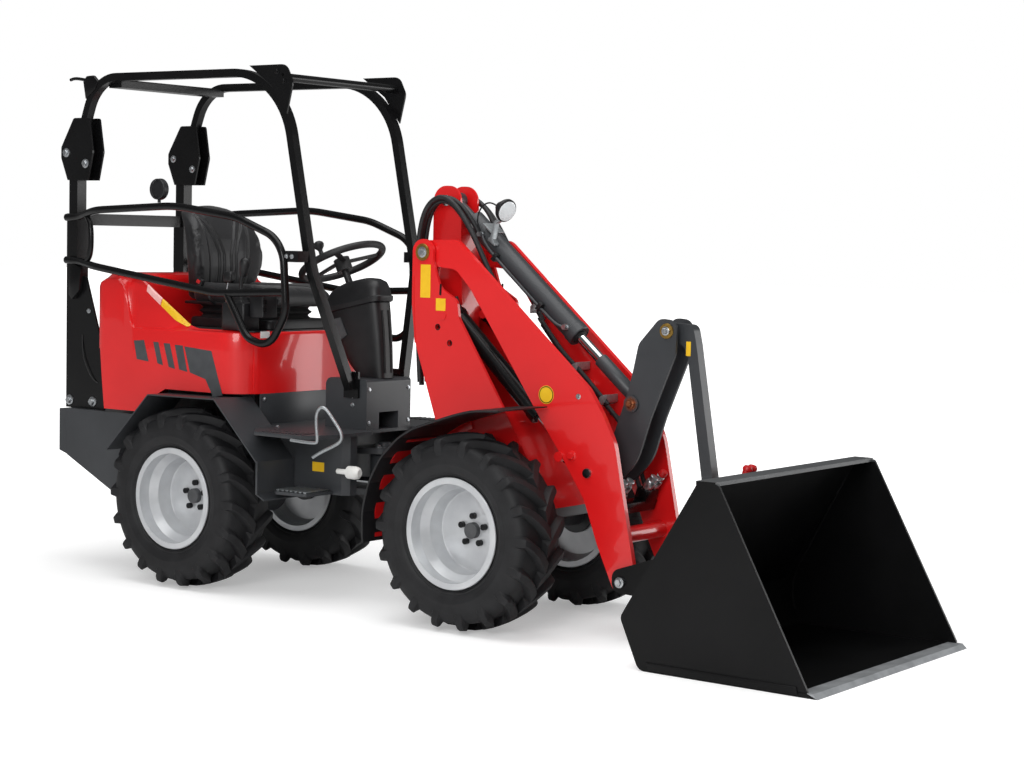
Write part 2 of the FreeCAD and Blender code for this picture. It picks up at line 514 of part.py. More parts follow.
guard = bent("guard", [
    ("-tail_x + 12", "post_half + guard_r + seat_gap", "1552"),
    ("-1460", "post_half + guard_r + seat_gap", "1556", 200), ("-1308", "guard_y", "1585", 300),
    ("-818", "guard_y", "1607", 900), ("-458", "guard_y", "1562", 420), ("-200", "guard_y", "1470", 150),
    ("-178", "guard_y", "1180", 130), ("-268", "guard_y", "1035", 90), ("-393", "guard_y", "1068", 90),
    ("-508", "guard_y", "1245")], "100", ("guard_r",))
guard_rail = bent("guard_rail", [
    ("-tail_x + 12", "post_half + guard_r + seat_gap", "1364"),
    ("-1460", "post_half + guard_r + seat_gap", "1360", 200), ("-1308", "guard_y", "1340", 300),
    ("-578", "guard_y", "1247", 500), ("-190", "guard_y", "1262")], "100", ("guard_r",))
guard_lug = block("guard_lug", "-206", "-118", f"{hoop_y} + hoop_w / 2 + seat_gap", "guard_y", "1385", "1430")
node(both("guards_pair", joined("guard_side", guard, guard_rail, guard_lug)), "side_guards")

# ---- seat, column, wheel and controls ----------------------------------------------------
node(block("seat_base", "-930", "-560", "-190", "190", "ledge_z + 7", "seat_z - 72"), "seat_base")
cushion = plate("cushion", [("-960", "seat_z - 71.7"), ("-960", "seat_z", 30), ("-470", "seat_z + 10", 40),
                            ("-470", "seat_z - 71.7", 20)], "-seat_half", "seat_half")
node(cushion, "seat_cushion")
back = plate("backrest", [("-960 - seat_gap", "seat_z - 66"), ("-960 - seat_gap", "seat_z + 6"), ("-898", "seat_z + 40", 30),
                          ("-900", "1470", 120), ("-985", "1632", 34), ("-1062", "1620", 34),
                          ("-1036", "seat_z - 66", 30)], "-seat_half", "seat_half")
node(back, "seat_backrest")
column = plate("column", [("-206", "tunnel_z + seat_gap"), ("-30", "tunnel_z + seat_gap"), ("-52", "1262", 30),
                          ("-215", "1322", 40), ("-330", "1232", 40), ("-300", "1100", 60)],
               "-62", "62")
hub = FreeCAD.Rotation(Vector(0, 1, 0), -26)
stalk = doc.addObject("Part::Cylinder", "stalk")
stalk.Placement = FreeCAD.Placement(Vector(), hub)
bind(stalk, Radius="15", Height="96 - seat_gap", x="-232 + 96 * sin(26)", z="1348 - 96 * cos(26)")
node(joined("column_and_stalk", column, stalk), "steering_column")
ring = doc.addObject("Part::Torus", "ring")
ring.Placement = FreeCAD.Placement(Vector(), hub)
bind(ring, Radius1="wheel_rim_r", Radius2="wheel_tube_r", x="-250", z="1385")
boss = doc.addObject("Part::Cylinder", "boss")
boss.Placement = FreeCAD.Placement(Vector(), hub)
bind(boss, Radius="34", Height="54", x="-232", z="1348")
spokes = []
for turn in range(3):
    spoke = doc.addObject("Part::Box", f"spoke_{turn}")
    around = FreeCAD.Rotation(Vector(0, 0, 1), 60 + 120 * turn)
    spoke.Placement = FreeCAD.Placement(Vector(), hub * around)
    bind(spoke, Length="wheel_rim_r", Width="22", Height="10", x="-248", z="1380")
    spokes.append(spoke)
node(joined("steering_wheel", ring, boss, *spokes), "steering_wheel")
console = block("console", "-600", "-470", "-hood_half + 40", "-hood_half + 143", "ledge_z + 7", "ledge_z + 125")
stick = upright("stick", "-535", "-hood_half + 93", "ledge_z + 124", "ledge_z + 235", "9")
grip = upright("grip", "-535", "-hood_half + 93", "ledge_z + 233", "ledge_z + 315", "22")
node(joined("control_console", console, stick, grip), "control_console")
lamp_disc = turned("lamp_disc", [("0", "-16"), ("44", "-16", 4), ("46", "14", 6), ("0", "18")],
                   "-912", "-guard_y", "1676")
lamp_stem = upright("lamp_stem", "-912", "-guard_y", "1619.4", "1640", "7")
node(joined("rear_work_lamp", lamp_disc, lamp_stem), "rear_work_lamp")

# ---- front chassis: knuckle, neck and box under the mast ---------------------------------
knuckle = upright("knuckle", "0", "0", "knuckle_low_z", "knuckle_top_z", "ear_r")
neck = block("neck", "0", "neck_end_x + 2", "-ear_r", "ear_r", "knuckle_low_z", "knuckle_top_z")
pin_bore = upright("pin_bore", "0", "0", "knuckle_low_z - 5", "knuckle_top_z + 5", "pin_r + 0.05")
neck_web = block("neck_web", "110", "neck_end_x + 2", "-neck_half", "neck_half", "under_z", "knuckle_top_z + 30")
under_box = plate("under_box", [
    ("neck_end_x", "under_z"), ("front_plate_x - 20", "under_z"), ("front_plate_x - 20", "front_plate_z"),
    ("900", "600"), ("neck_end_x", "knuckle_top_z + 30")], "-mast_half + mast_t + 0.5",
    "mast_half - mast_t - 0.5")
arms = []
for level, low in (("upper", "steer_z + 16"), ("lower", "steer_z - 30")):
    arms.append(block(f"steer_arm_{level}", "steer_end_x - 18", "steer_end_x + 18", "-steer_y - 15", "0",
                      low, f"{low} + 14"))
node(cut("front_chassis_bored", joined("front_chassis_solid", knuckle, neck, neck_web, under_box, *arms),
         pin_bore), "front_chassis")

# ---- mast: side plates with pin ears, front plate, column and crown -----------------------
side_plate = plate("mast_side", [
    ("boom_pin_x - mast_ear_r", "boom_pin_z + mast_ear_r", "mast_ear_r - 1"),
    ("boom_pin_x - mast_ear_r", "1230", 400), ("316", "1083", 300), ("430", "770"),
    ("560", "under_z"), ("front_plate_x - 8", "under_z"),
    ("front_plate_x", "front_plate_z"), ("538", "1180", 40), ("526", "1250", 30),
    ("440", "1300", 60), ("boom_pin_x + mast_ear_r", "1400", 60),
    ("boom_pin_x + mast_ear_r", "boom_pin_z + mast_ear_r", "mast_ear_r - 1")],
    "mast_half - mast_t", "mast_half", [("432", "1143", "11"), ("493", "1082", "8")])
inner_ear = plate("inner_ear", [
    ("304", "1100"), ("304", "boom_pin_z + 44", 40), ("boom_pin_x + 44", "boom_pin_z + 44", 40),
    ("boom_pin_x + 44", "1360"), ("330", "1100")], "inner_ear_half - 12", "inner_ear_half")
pivot = crossbar("boom_pin", "boom_pin_x", "boom_pin_z", "inner_ear_half - 10", "mast_half + 4", "boom_pin_r")
ram_pin = crossbar("ram_pin", "ram_pin_x", "ram_pin_z", "column_half - 4", "mast_half + 3", "18")
back_wall = plate("back_wall", [("304", "1075"), ("316", "1075"), ("316", "1330"), ("304", "1330")],
                  "-mast_half + mast_t - 1", "mast_half - mast_t + 1")
low_wall = plate("low_wall", [("421", "790"), ("433", "790"), ("328", "1083"), ("316", "1083")],
                 "-mast_half + mast_t - 1", "mast_half - mast_t + 1")
front_plate = plate("front_plate", [("front_plate_x - 2", "front_plate_z + 2"), ("770", "828"), ("756", "822"),
                                    ("front_plate_x - 20", "front_plate_z")],
                    "-mast_half + mast_t - 1", "mast_half - mast_t + 1")
column_foot = plate("column_foot", [("column_rear_x", "1000"), ("column_rear_x", "1628"),
                                    ("column_front_x", "1628"), ("column_front_x + 16", "1230"),
                                    ("column_front_x", "700"), ("column_rear_x + 140", "700")],
                    "-column_half", "column_half")
crown = plate("crown", [("column_rear_x", "1500"), ("column_rear_x", "1704", 62),
                        ("column_front_x", "1704", 62), ("column_front_x", "1500")],
              "column_half - crown_t", "column_half")
crown_pin = crossbar("crown_pin", "crown_pin_x", "crown_pin_z", "-column_half - 6", "column_half + 6",
                     "crown_pin_r")
crown_room = plate("crown_room", [
    ("column_rear_x - 1", "1760"), ("column_rear_x - 1", "crown_pin_z - 48"),
    ("crown_pin_x - 30", "crown_pin_z - 48"), ("crown_pin_x + 200", "crown_pin_z - 241"),
    ("crown_pin_x + 200", "1760")], "-column_half + crown_t", "column_half - crown_t")
post_shape = cut("column_cut", column_foot, crown_room)
halves = [side_plate, inner_ear, pivot, ram_pin, crown]
node(joined("mast", post_shape, *halves, *(mirrored(piece) for piece in halves), back_wall,
            low_wall, front_plate, crown_pin), "mast")

# ---- front mudguards: a strip round the back of the wheel, running on along the mast -------
outer, inner = "fender_r + fender_t", "fender_r"


def rim_point(radius, angle):
    return (f"half_base + ({radius}) * cos({angle})", f"tyre_r + ({radius}) * sin({angle})")


steps = (190, 174, 158, 142, 126, 112)
fender = plate("fender", [rim_point(outer, a) for a in steps] + [
    ("838", "850 + fender_t"), ("972", "858 + fender_t"), ("972", "858"), ("839", "850")]
    + [rim_point(inner, a) for a in reversed(steps)], "mast_half + 0.5", "guard_half")
node(both("front_mudguards_pair", fender), "front_mudguards")

# ---- boom: two cranked arms tied by tubes --------------------------------------------------
arm = plate("arm", [
    ("boom_pin_x - 46", "boom_pin_z - 46", 44), ("boom_pin_x - 46", "boom_pin_z + 46", 44),
    ("506", "1489", 60), ("1150", "938", 140), ("1216", "842", 200), ("1270", "740", 200),
    ("1310", "548", 200), ("bucket_pin_x + 44", "bucket_pin_z + 40", 40),
    ("bucket_pin_x + 30", "bucket_pin_z - 46", 44), ("bucket_pin_x - 46", "bucket_pin_z - 40", 40),
    ("1201", "353", 200), ("1137", "518", 200), ("1026", "680", 200), ("929", "807", 200),
    ("579", "1294", 100), ("503", "1372", 60)], "boom_half - boom_t", "boom_half",
    [("boom_pin_x", "boom_pin_z", "boom_pin_r + pin_gap"),
     ("bucket_pin_x", "bucket_pin_z", "bucket_pin_r + pin_gap")])
mid_tube = crossbar("boom_mid_tube", "915", "920", "-boom_half + boom_t - 1", "boom_half - boom_t + 1", "30")
low_tube = crossbar("boom_low_tube", "1262", "385", "-boom_half + boom_t - 1", "boom_half - boom_t + 1", "32")
rod_pin = crossbar("boom_rod_pin", "rod_pin_x", "rod_pin_z", "lift_y + eye_w / 2 + 0.6", "boom_half + 10", "19")
fulcrum = crossbar("boom_fulcrum", "lever_pin_x", "lever_pin_z", "lever_half + 1", "boom_half - boom_t + 1", "34")
fulcrum_bore = crossbar("boom_fulcrum_bore", "lever_pin_x", "lever_pin_z", "-boom_half - 5", "boom_half + 5",
                        "18 + pin_gap")
node(cut("boom_bored", joined("boom_solid", arm, mirrored(arm), mid_tube, low_tube, rod_pin,
                              mirrored(rod_pin), fulcrum, mirrored(fulcrum)), fulcrum_bore), "boom")

# ---- lever, its shaft and the link to the bucket carrier ------------------------------------
node(crossbar("lever_shaft", "lever_pin_x", "lever_pin_z", "-boom_half - 8", "boom_half + 8", "18"),
     "lever_shaft")
cheek = plate("cheek", [
    ("lever_pin_x - 52", "lever_pin_z - 50", 48), ("1176", "742", 60), ("1243", "927", 200),
    ("1263", "1004", 200), ("1286", "1112", 60), ("top_pin_x - 34", "top_pin_z + 46", 40),
    ("top_pin_x + 44", "top_pin_z + 40", 40), ("top_pin_x + 40", "1080", 60), ("1345", "828", 200),
    ("1291", "661", 200), ("lever_pin_x + 52", "lever_pin_z - 46", 48)],
    "lever_half - lever_t", "lever_half",
    [("lever_pin_x", "lever_pin_z", "18 + pin_gap"), ("top_pin_x", "top_pin_z", "16 + pin_gap")])
mid_pin = crossbar("mid_pin", "mid_pin_x", "mid_pin_z", "31", "lever_half + 14", "18")
mid_boss = crossbar("mid_boss", "mid_pin_x", "mid_pin_z", "lever_half - 1", "lever_half + 8", "32")
spacer = crossbar("lever_spacer", "1240", "715", "-lever_half + 2", "lever_half - 2", "14")
node(joined("tilt_lever", cheek, mirrored(cheek), mid_pin, mirrored(mid_pin), mid_boss,
            mirrored(mid_boss), spacer),
     "tilt_lever")
node(crossbar("link_shaft", "top_pin_x", "top_pin_z", "-lever_half - 12", "lever_half + 12", "16"),
     "link_shaft")
link = plate("link_body", [
    ("top_pin_x - 30", "top_pin_z - 30", 28), ("top_pin_x - 30", "top_pin_z + 32", 30),
    ("1500", "1190", 30), ("1517", "1117", 40), ("link_pin_x + 26", "link_pin_z + 40", 10),
    ("link_pin_x + 26", "link_pin_z - 26", 24), ("link_pin_x - 26", "link_pin_z - 26", 24),
    ("link_pin_x - 26", "link_pin_z + 60", 20), ("1474", "1110", 60)], "-link_w / 2", "link_w / 2",
    [("top_pin_x", "top_pin_z", "16 + pin_gap")])
node(link, "tilt_link")

# ---- lift rams ---------------------------------------------------------------------------
pin_b, pin_r = ("ram_pin_x", "ram_pin_z"), ("rod_pin_x", "rod_pin_z")


case = strut("lift_case_tube", pin_b, pin_r, "lift_y", "24", "lift_case", "lift_bore_r")
case_bore = strut("lift_case_bore", pin_b, pin_r, "lift_y", "60", "lift_case + 5", "lift_rod_r + 0.3")
eye = crossbar("lift_case_eye", *pin_b, "lift_y - eye_w / 2", "lift_y + eye_w / 2", "33")
eye_bore = crossbar("lift_case_eye_bore", *pin_b, "lift_y - 60", "lift_y + 60", "18 + pin_gap")
lift_case = cut("lift_case_body", joined("lift_case_solid", case, eye), case_bore, eye_bore)
node(both("lift_cases", lift_case), "lift_ram_cases")
lift_rod = strut("lift_rod_bar", pin_b, pin_r, "lift_y", "90", "reach - 22", "lift_rod_r")
rod_eye = crossbar("lift_rod_eye", *pin_r, "lift_y - eye_w / 2", "lift_y + eye_w / 2", "32")
node(both("lift_rods", joined("lift_rod_solid", lift_rod, rod_eye)), "lift_ram_rods")

# ---- tilt ram ------------------------------------------------------------------------------
pin_t, pin_e = ("crown_pin_x", "crown_pin_z"), ("mid_pin_x", "mid_pin_z")
case = strut("tilt_case_tube", pin_t, pin_e, "0", "120", "tilt_case", "tilt_bore_r")
neck_bar = strut("tilt_case_neck", pin_t, pin_e, "0", "20", "126", "22")
case_bore = strut("tilt_case_bore", pin_t, pin_e, "0", "150", "tilt_case + 5", "tilt_rod_r + 0.3")
eye = crossbar("tilt_case_eye", *pin_t, "-30", "30", "34")
eye_bore = crossbar("tilt_case_eye_bore", *pin_t, "-70", "70", "crown_pin_r + pin_gap")
node(cut("tilt_case_body", joined("tilt_case_solid", case, neck_bar, eye), case_bore, eye_bore),
     "tilt_ram_case")
tilt_rod = strut("tilt_rod_bar", pin_t, pin_e, "0", "290", "reach - 24", "tilt_rod_r")
rod_eye = crossbar("tilt_rod_eye", *pin_e, "-30", "30", "34")
node(joined("tilt_rod_solid", tilt_rod, rod_eye), "tilt_ram_rod")

# ---- steering ram ---------------------------------------------------------------------------
pin_s, pin_f = ("-steer_base_x", "steer_z"), ("steer_end_x", "steer_z")
case = strut("steer_case_tube", pin_s, pin_f, "-steer_y", "18", "292", "steer_bore_r")
case_eye = upright("steer_case_eye", "-steer_base_x", "-steer_y", "steer_z - 20", "steer_z + 20", "24")
eye_bore = upright("steer_case_eye_bore", "-steer_base_x", "-steer_y", "steer_z - 30", "steer_z + 30",
                   "11 + pin_gap")
case_bore = strut("steer_case_bore", pin_s, pin_f, "-steer_y", "50", "335", "steer_rod_r + 0.3")
node(cut("steer_case", joined("steer_case_solid", case, case_eye), case_bore, eye_bore),
     "steering_ram_case")
steer_rod = strut("steer_rod_bar", pin_s, pin_f, "-steer_y", "170", "reach - 12", "steer_rod_r")
rod_eye = upright("steer_rod_eye", "steer_end_x", "-steer_y", "steer_z - 14", "steer_z + 14", "21")
node(joined("steer_rod", steer_rod, rod_eye), "steering_ram_rod")

# ---- bucket carrier and bucket -----------------------------------------------------------------
# Both are laid out from the bucket's sloping back: so far up it, and so far out from it.
back_run, back_rise = "(bucket_top_x - bucket_back_x)", "(bucket_top_z - bucket_back_z)"
back_length = f"sqrt({back_run}^2 + {back_rise}^2)"


def behind(up, out):
    return (f"bucket_back_x + (({up}) * {back_run} + ({out}) * {back_rise}) / {back_length}",
            f"bucket_back_z + (({up}) * {back_rise} - ({out}) * {back_run}) / {back_length}")


node(crossbar("bucket_shaft", "bucket_pin_x", "bucket_pin_z", "-boom_half - 34", "boom_half + 34",
              "bucket_pin_r"), "bucket_pivot_shaft")
lug = plate("carrier_lug", [
    ("bucket_pin_x - 40", "bucket_pin_z - 40", 38), ("bucket_pin_x - 40", "bucket_pin_z + 40", 38),
    ("1470", "330", 40), behind("250", "-carrier_off - 12"), behind("250", "-carrier_off - 2"),
    behind("-14", "-carrier_off - 2"), ("1440", "180", 30)],
    "carrier_in", "carrier_in + 16", [("bucket_pin_x", "bucket_pin_z", "bucket_pin_r + pin_gap")])
face = plate("carrier_face", [behind("-19", "-carrier_off"), behind("263", "-carrier_off"),
                              behind("263", "-carrier_off - 14"), behind("-19", "-carrier_off - 14")],
             "-carrier_half", "carrier_half")
tower = plate("carrier_tower", [("1530", "330"), ("link_pin_x - 40", "link_pin_z + 38", 36),
                                ("link_pin_x + 40", "link_pin_z + 38", 36), behind("262", "-carrier_off - 2")],
              "link_w / 2 + 3", "link_w / 2 + 15")
top_bar = crossbar("carrier_top_bar", *behind("carrier_bar_up", "-carrier_off - 18"), "-carrier_half",
                   "carrier_half", "18")
neck_web = plate("carrier_web", [behind("255", "-carrier_off - 1"), behind("carrier_bar_up", "-carrier_off - 8"),
                                 behind("carrier_bar_up", "-carrier_off - 13"), behind("255", "-carrier_off - 13")],
                 "-carrier_half", "carrier_half")
link_pin = crossbar("carrier_link_pin", "link_pin_x", "link_pin_z", "link_w / 2 + 1", "link_w / 2 + 22",
                    "link_pin_r")
node(joined("bucket_carrier_solid", lug, mirrored(lug), face, neck_web, tower, mirrored(tower), top_bar, link_pin,
            mirrored(link_pin)),
     "bucket_carrier")

cheek_plate = plate("bucket_cheek", [
    ("bucket_back_x", "bucket_back_z", 30), ("bucket_heel_x", "0", 40), ("lip_x - 40", "0"),
    ("lip_x - 40", "24"), ("1961", "bucket_top_z - 4", 12), ("bucket_top_x", "bucket_top_z")],
    "bucket_half - bucket_t", "bucket_half")
shell = plate("bucket_shell", [
    ("bucket_back_x", "bucket_back_z", 30), ("bucket_heel_x", "0", 40), ("lip_x - lip_w + 4", "0"),
    ("lip_x - lip_w + 4", "bucket_t"), ("bucket_heel_x + 6", "bucket_t", 30),
    ("bucket_back_x + 11.4", "bucket_back_z + 2", 20), ("bucket_top_x + 9", "bucket_top_z - 5"),
    ("bucket_top_x", "bucket_top_z")], "-bucket_half + bucket_t - 1", "bucket_half - bucket_t + 1")
flange = plate("bucket_flange", [("bucket_top_x - 9", "bucket_top_z - 12"), ("1950", "bucket_top_z - 12"),
                                 ("1950", "bucket_top_z + 2"), ("bucket_top_x - 9", "bucket_top_z + 2")],
               "-bucket_half", "bucket_half")
edge = plate("bucket_edge", [("lip_x - lip_w", "0"), ("lip_x", "0"), ("lip_x - 18", "lip_t"),
                             ("lip_x - lip_w", "lip_t")], "-bucket_half", "bucket_half")
hanger = plate("bucket_hanger", [
    behind("60", "2"), behind("400", "2"), behind("carrier_bar_up + 56", "-carrier_off - 44"),
    behind("carrier_bar_up + 18 + seat_gap", "-carrier_off - 44"),
    behind("carrier_bar_up + 18 + seat_gap", "-carrier_off + seat_gap"), behind("60", "-carrier_off + seat_gap")],
    "232", "246")
shell_all = joined("bucket_solid", cheek_plate, mirrored(cheek_plate), shell, flange, edge, hanger,
                   mirrored(hanger))
node(shell_all, "bucket")

doc.recompute()

for thing in doc.Objects:
    if {"Invalid", "Error"} & set(thing.State):
        raise RuntimeError(f"{thing.Label}: {thing.State}")
os.makedirs("parts", exist_ok=True)
for piece in NODES:
    if piece.Shape.isNull() or not piece.Shape.isValid():
        raise RuntimeError(f"{piece.Label} has no valid shape")
    piece.Shape.exportStep(f"parts/{piece.Label}.step")
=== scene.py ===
# The looks of a compact articulated wheel loader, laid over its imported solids. Metres in the
# shared frame; places written with spot() are millimetres measured from the articulation pin.
import bmesh
import bpy
import math
from mathutils import Matrix, Vector


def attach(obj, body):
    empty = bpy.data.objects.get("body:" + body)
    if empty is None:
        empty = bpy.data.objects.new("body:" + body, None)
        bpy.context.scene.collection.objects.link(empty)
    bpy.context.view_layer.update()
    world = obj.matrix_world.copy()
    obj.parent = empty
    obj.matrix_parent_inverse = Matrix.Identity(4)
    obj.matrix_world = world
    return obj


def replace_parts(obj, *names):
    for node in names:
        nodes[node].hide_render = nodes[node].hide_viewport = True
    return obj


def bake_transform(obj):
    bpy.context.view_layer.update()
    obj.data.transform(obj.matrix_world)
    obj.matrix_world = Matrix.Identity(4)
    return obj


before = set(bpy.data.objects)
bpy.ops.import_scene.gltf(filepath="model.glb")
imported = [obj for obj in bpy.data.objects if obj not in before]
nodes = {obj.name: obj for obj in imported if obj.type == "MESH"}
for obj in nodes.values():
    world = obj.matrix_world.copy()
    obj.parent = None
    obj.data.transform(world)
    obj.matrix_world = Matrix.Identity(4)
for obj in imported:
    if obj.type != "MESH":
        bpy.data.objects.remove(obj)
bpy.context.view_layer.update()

# ---- camera ----
# A standing viewer's eye, 1.5 m up off the machine's front right corner, with a short
# telephoto lens. It looks four degrees down and leans by one.


def in_scene(name, data):
    """A new object of the data, linked to the scene."""
    made = bpy.data.objects.new(name, data)
    bpy.context.scene.collection.objects.link(made)
    return made


lens = bpy.data.cameras.new("eye")
lens.lens = 73.21
lens.sensor_width = 36
eye = in_scene("eye", lens)
turn = Matrix.Rotation(0.6357, 4, "Z")
tip = Matrix.Rotation(math.pi / 2 - 0.0692, 4, "X")
roll = Matrix.Rotation(0.0204, 4, "Z")
eye.matrix_world = Matrix.Translation((5.173, -6.646, 1.4934)) @ turn @ tip @ roll
bpy.context.scene.camera = eye
bpy.context.scene.view_settings.view_transform = "Standard"

# ---- studio ----
# A plain pale floor, a white surround and three broad soft lamps: one overhead, one beside the
# eye and one behind, weak enough that colours render about as they are written.


def linear(code):
    """A hex colour as the shader's linear colour."""
    parts = [int(code[i:i + 2], 16) / 255 for i in (0, 2, 4)]
    return tuple(p / 12.92 if p <= 0.04045 else ((p + 0.055) / 1.055) ** 2.4 for p in parts) + (1,)


def add_node(tree, kind, sockets=None, **settings):
    """A node (of the shader kinds, if the kind doesn't say), its sockets set or joined to others."""
    made = tree.nodes.new(kind if "Node" in kind else f"ShaderNode{kind}")
    for name, value in settings.items():
        setattr(made, name, value)
    for name, value in (sockets or {}).items():
        if isinstance(value, bpy.types.Node):
            value = value.outputs[0]
        if isinstance(value, bpy.types.NodeSocket):
            tree.links.new(value, made.inputs[name])
        else:
            made.inputs[name].default_value = value
    return made


def blank_material(name):
    """A new material's tree with its nodes cleared away."""
    made = bpy.data.materials.new(name)
    made.use_nodes = True
    made.node_tree.nodes.clear()
    return made, made.node_tree


# Matt pale vinyl sweep: shadows show near the machine, and it fades to white beyond it.
studio_floor, tree = blank_material("studio_floor")
base = add_node(tree, "BsdfDiffuse", {"Color": linear("EAEAEA")})
where = add_node(tree, "TexCoord")
away = add_node(tree, "VectorMath", {0: where.outputs["Object"]}, operation="LENGTH")
fade = add_node(tree, "MapRange", {"Value": away.outputs["Value"], "From Min": 1.5, "From Max": 6.5,
                                   "To Min": 0.33, "To Max": 1.0}, interpolation_type="SMOOTHSTEP")
glow = add_node(tree, "Emission", {"Color": (1, 1, 1, 1), "Strength": fade})
lit = add_node(tree, "AddShader", {0: base, 1: glow})
path = add_node(tree, "LightPath")
mixed = add_node(tree, "MixShader", {0: path.outputs["Is Camera Ray"], 1: base, 2: lit})
add_node(tree, "OutputMaterial", {"Surface": mixed})
floor_mesh = bpy.data.meshes.new("floor")
floor_mesh.from_pydata([(-60, -60, 0), (60, -60, 0), (60, 60, 0), (-60, 60, 0)], [], [(0, 1, 2, 3)])
floor_mesh.materials.append(studio_floor)
in_scene("floor", floor_mesh)

surround = bpy.data.worlds.new("surround")
surround.use_nodes = True
tree = surround.node_tree
tree.nodes.clear()
path = add_node(tree, "LightPath")
seen = add_node(tree, "Math", {0: path.outputs["Is Camera Ray"], 1: path.outputs["Is Transmission Ray"]},
                operation="MAXIMUM")
lit = add_node(tree, "MapRange", {"Value": path.outputs["Is Glossy Ray"], "To Min": 0.5, "To Max": 0.12})
level = add_node(tree, "Mix", {0: seen, 2: lit, 3: 1.0})
sky = add_node(tree, "Background", {"Color": (1, 1, 1, 1), "Strength": level})
add_node(tree, "OutputWorld", {"Surface": sky})
bpy.context.scene.world = surround

for name, stand, aim, breadth, power in (
        ("lamp_over", (0.0, -0.6, 5.2), (0, 0, 0.6), 4.5, 170),
        ("lamp_front", (2.6, -6.2, 3.4), (0, 0, 0.7), 3.0, 190),
        ("lamp_beyond", (5.6, 6.2, 1.7), (0, 0, 0.9), 3.6, 150)):
    lamp = bpy.data.lights.new(name, "AREA")
    lamp.shape = "SQUARE"
    lamp.size = breadth
    lamp.energy = power
    held = in_scene(name, lamp)
    held.location = stand
    held.rotation_euler = (Vector(aim) - Vector(stand)).to_track_quat("-Z", "Y").to_euler()

# ---- wheels ----
# Pressed steel rims, welded to a dished disc and sprayed silver; five black nuts and a dark
# cap. The spray's metal flake gives a soft broad shine with a faint grain.
PIN_X = 0.3835


def spot(x, y, z):
    """A place given in millimetres from the articulation pin, as a point of the shared frame."""
    return Vector((x / 1000 - PIN_X, y / 1000, z / 1000))


def pattern(tree, kind, scale, sockets=None):
    """Noise or cells 1/scale metres across, on the piece's own place."""
    where = add_node(tree, "TexCoord")
    return add_node(tree, kind, {"Vector": where.outputs["Object"], "Scale": scale, **(sockets or {})})


def body_shader(tree, sockets):
    """A Principled surface joined to a material output, with the sockets given."""
    shader = add_node(tree, "BsdfPrincipled", sockets)
    add_node(tree, "OutputMaterial", {"Surface": shader})


def mottled(tree, first, second, scale):
    """Colour that wanders between two hex colours over patches of 1/scale metres."""
    cloud = pattern(tree, "TexNoise", scale, {"Detail": 3})
    fade = add_node(tree, "MapRange", {"Value": cloud, "From Min": 0.35, "From Max": 0.65})
    return add_node(tree, "Mix", {0: fade, 6: linear(first), 7: linear(second)}, data_type="RGBA").outputs[2]


def worn_edges(tree, colour, bare, reach, amount):
    """Mixes a barer colour in along rubbed edges, broken up by noise."""
    rounded = add_node(tree, "Bevel", {"Radius": reach}, samples=4)
    flat = add_node(tree, "NewGeometry")
    alike = add_node(tree, "VectorMath", {0: rounded, 1: flat.outputs["Normal"]}, operation="DOT_PRODUCT")
    edge = add_node(tree, "MapRange", {"Value": alike.outputs["Value"], "From Min": 0.97, "From Max": 0.75})
    patches = pattern(tree, "TexNoise", 38.0, {"Detail": 4.0})
    broken = add_node(tree, "MapRange", {"Value": patches, "From Min": 0.5, "From Max": 0.62,
                                         "To Max": amount})
    rubbed = add_node(tree, "Math", {0: edge, 1: broken}, operation="MULTIPLY")
    return add_node(tree, "Mix", {0: rubbed, 6: colour, 7: linear(bare)}, data_type="RGBA").outputs[2]


def finish_of(name, first, second, patch, rough, grit, depth, detail=2, more=None, worn=None, cells=0.0):
    """A surface of two close colours in patches, with an even grain (or cells of that strength)."""
    made, tree = blank_material(name)
    colour = mottled(tree, first, second, patch)
    if worn:
        colour = worn_edges(tree, colour, *worn)
    grains = pattern(tree, "TexVoronoi", grit) if cells else \
        pattern(tree, "TexNoise", grit, {"Detail": detail})
    relief = add_node(tree, "Bump", {"Strength": cells or 1.0, "Distance": depth, "Height": grains})
    body_shader(tree, {"Base Color": colour, "Roughness": rough, "Normal": relief, **(more or {})})
    return made


def dressed(name, *finishes):
    """A carried-over solid given its real finishes in place of its plain one."""
    mesh = nodes[name].data
    mesh.materials.clear()
    for finish in finishes:
        mesh.materials.append(finish)
    return mesh


def painted(name, pick, *finishes):
    """A carried-over solid whose faces take the finish numbered by pick(x, y, z) in millimetres."""
    for face in dressed(name, *finishes).polygons:
        x, y, z = face.center
        face.material_index = pick((x + PIN_X) * 1000, y * 1000, z * 1000)


# Aluminium-flake rim lacquer: pale grey, satin, with flake about half a millimetre across.
silver = finish_of("silver_spray", "D2D4D6", "C2C4C7", 9.0, 0.34, 1900.0, 0.00004, 2,
                   {"Metallic": 0.35, "Coat Weight": 0.25, "Coat Roughness": 0.15})
# Black-oxide nuts: dark steel with a dull oily shine.
oxide = finish_of("black_oxide", "151516", "222224", 60.0, 0.38, 900.0, 0.00006, 2, {"Metallic": 0.6})
# A moulded hub cap in dark grey nylon, with a fine spark-eroded grain.
cap = finish_of("cap_grey", "48494B", "525355", 30.0, 0.55, 1400.0, 0.00008)
AXLE_X, WHEEL_Y, AXLE_Z = 745, 382, 380
corners = (("front_left", AXLE_X, 1), ("front_right", AXLE_X, -1), ("rear_left", -AXLE_X, 1),
           ("rear_right", -AXLE_X, -1))


def wheel_part(axle_x, side):
    """Which finish a wheel's face takes: lacquer 0, nuts 1, cap 2."""
    def pick(x, y, z):
        reach, out = math.hypot(x - axle_x, z - AXLE_Z), y * side - WHEEL_Y
        return 2 if reach < 33 and out > -31 else int(42 < reach < 70 and out > -30)
    return pick


for corner, axle_x, side in corners:
    painted(f"wheel_{corner}", wheel_part(axle_x, side), silver, oxide, cap)

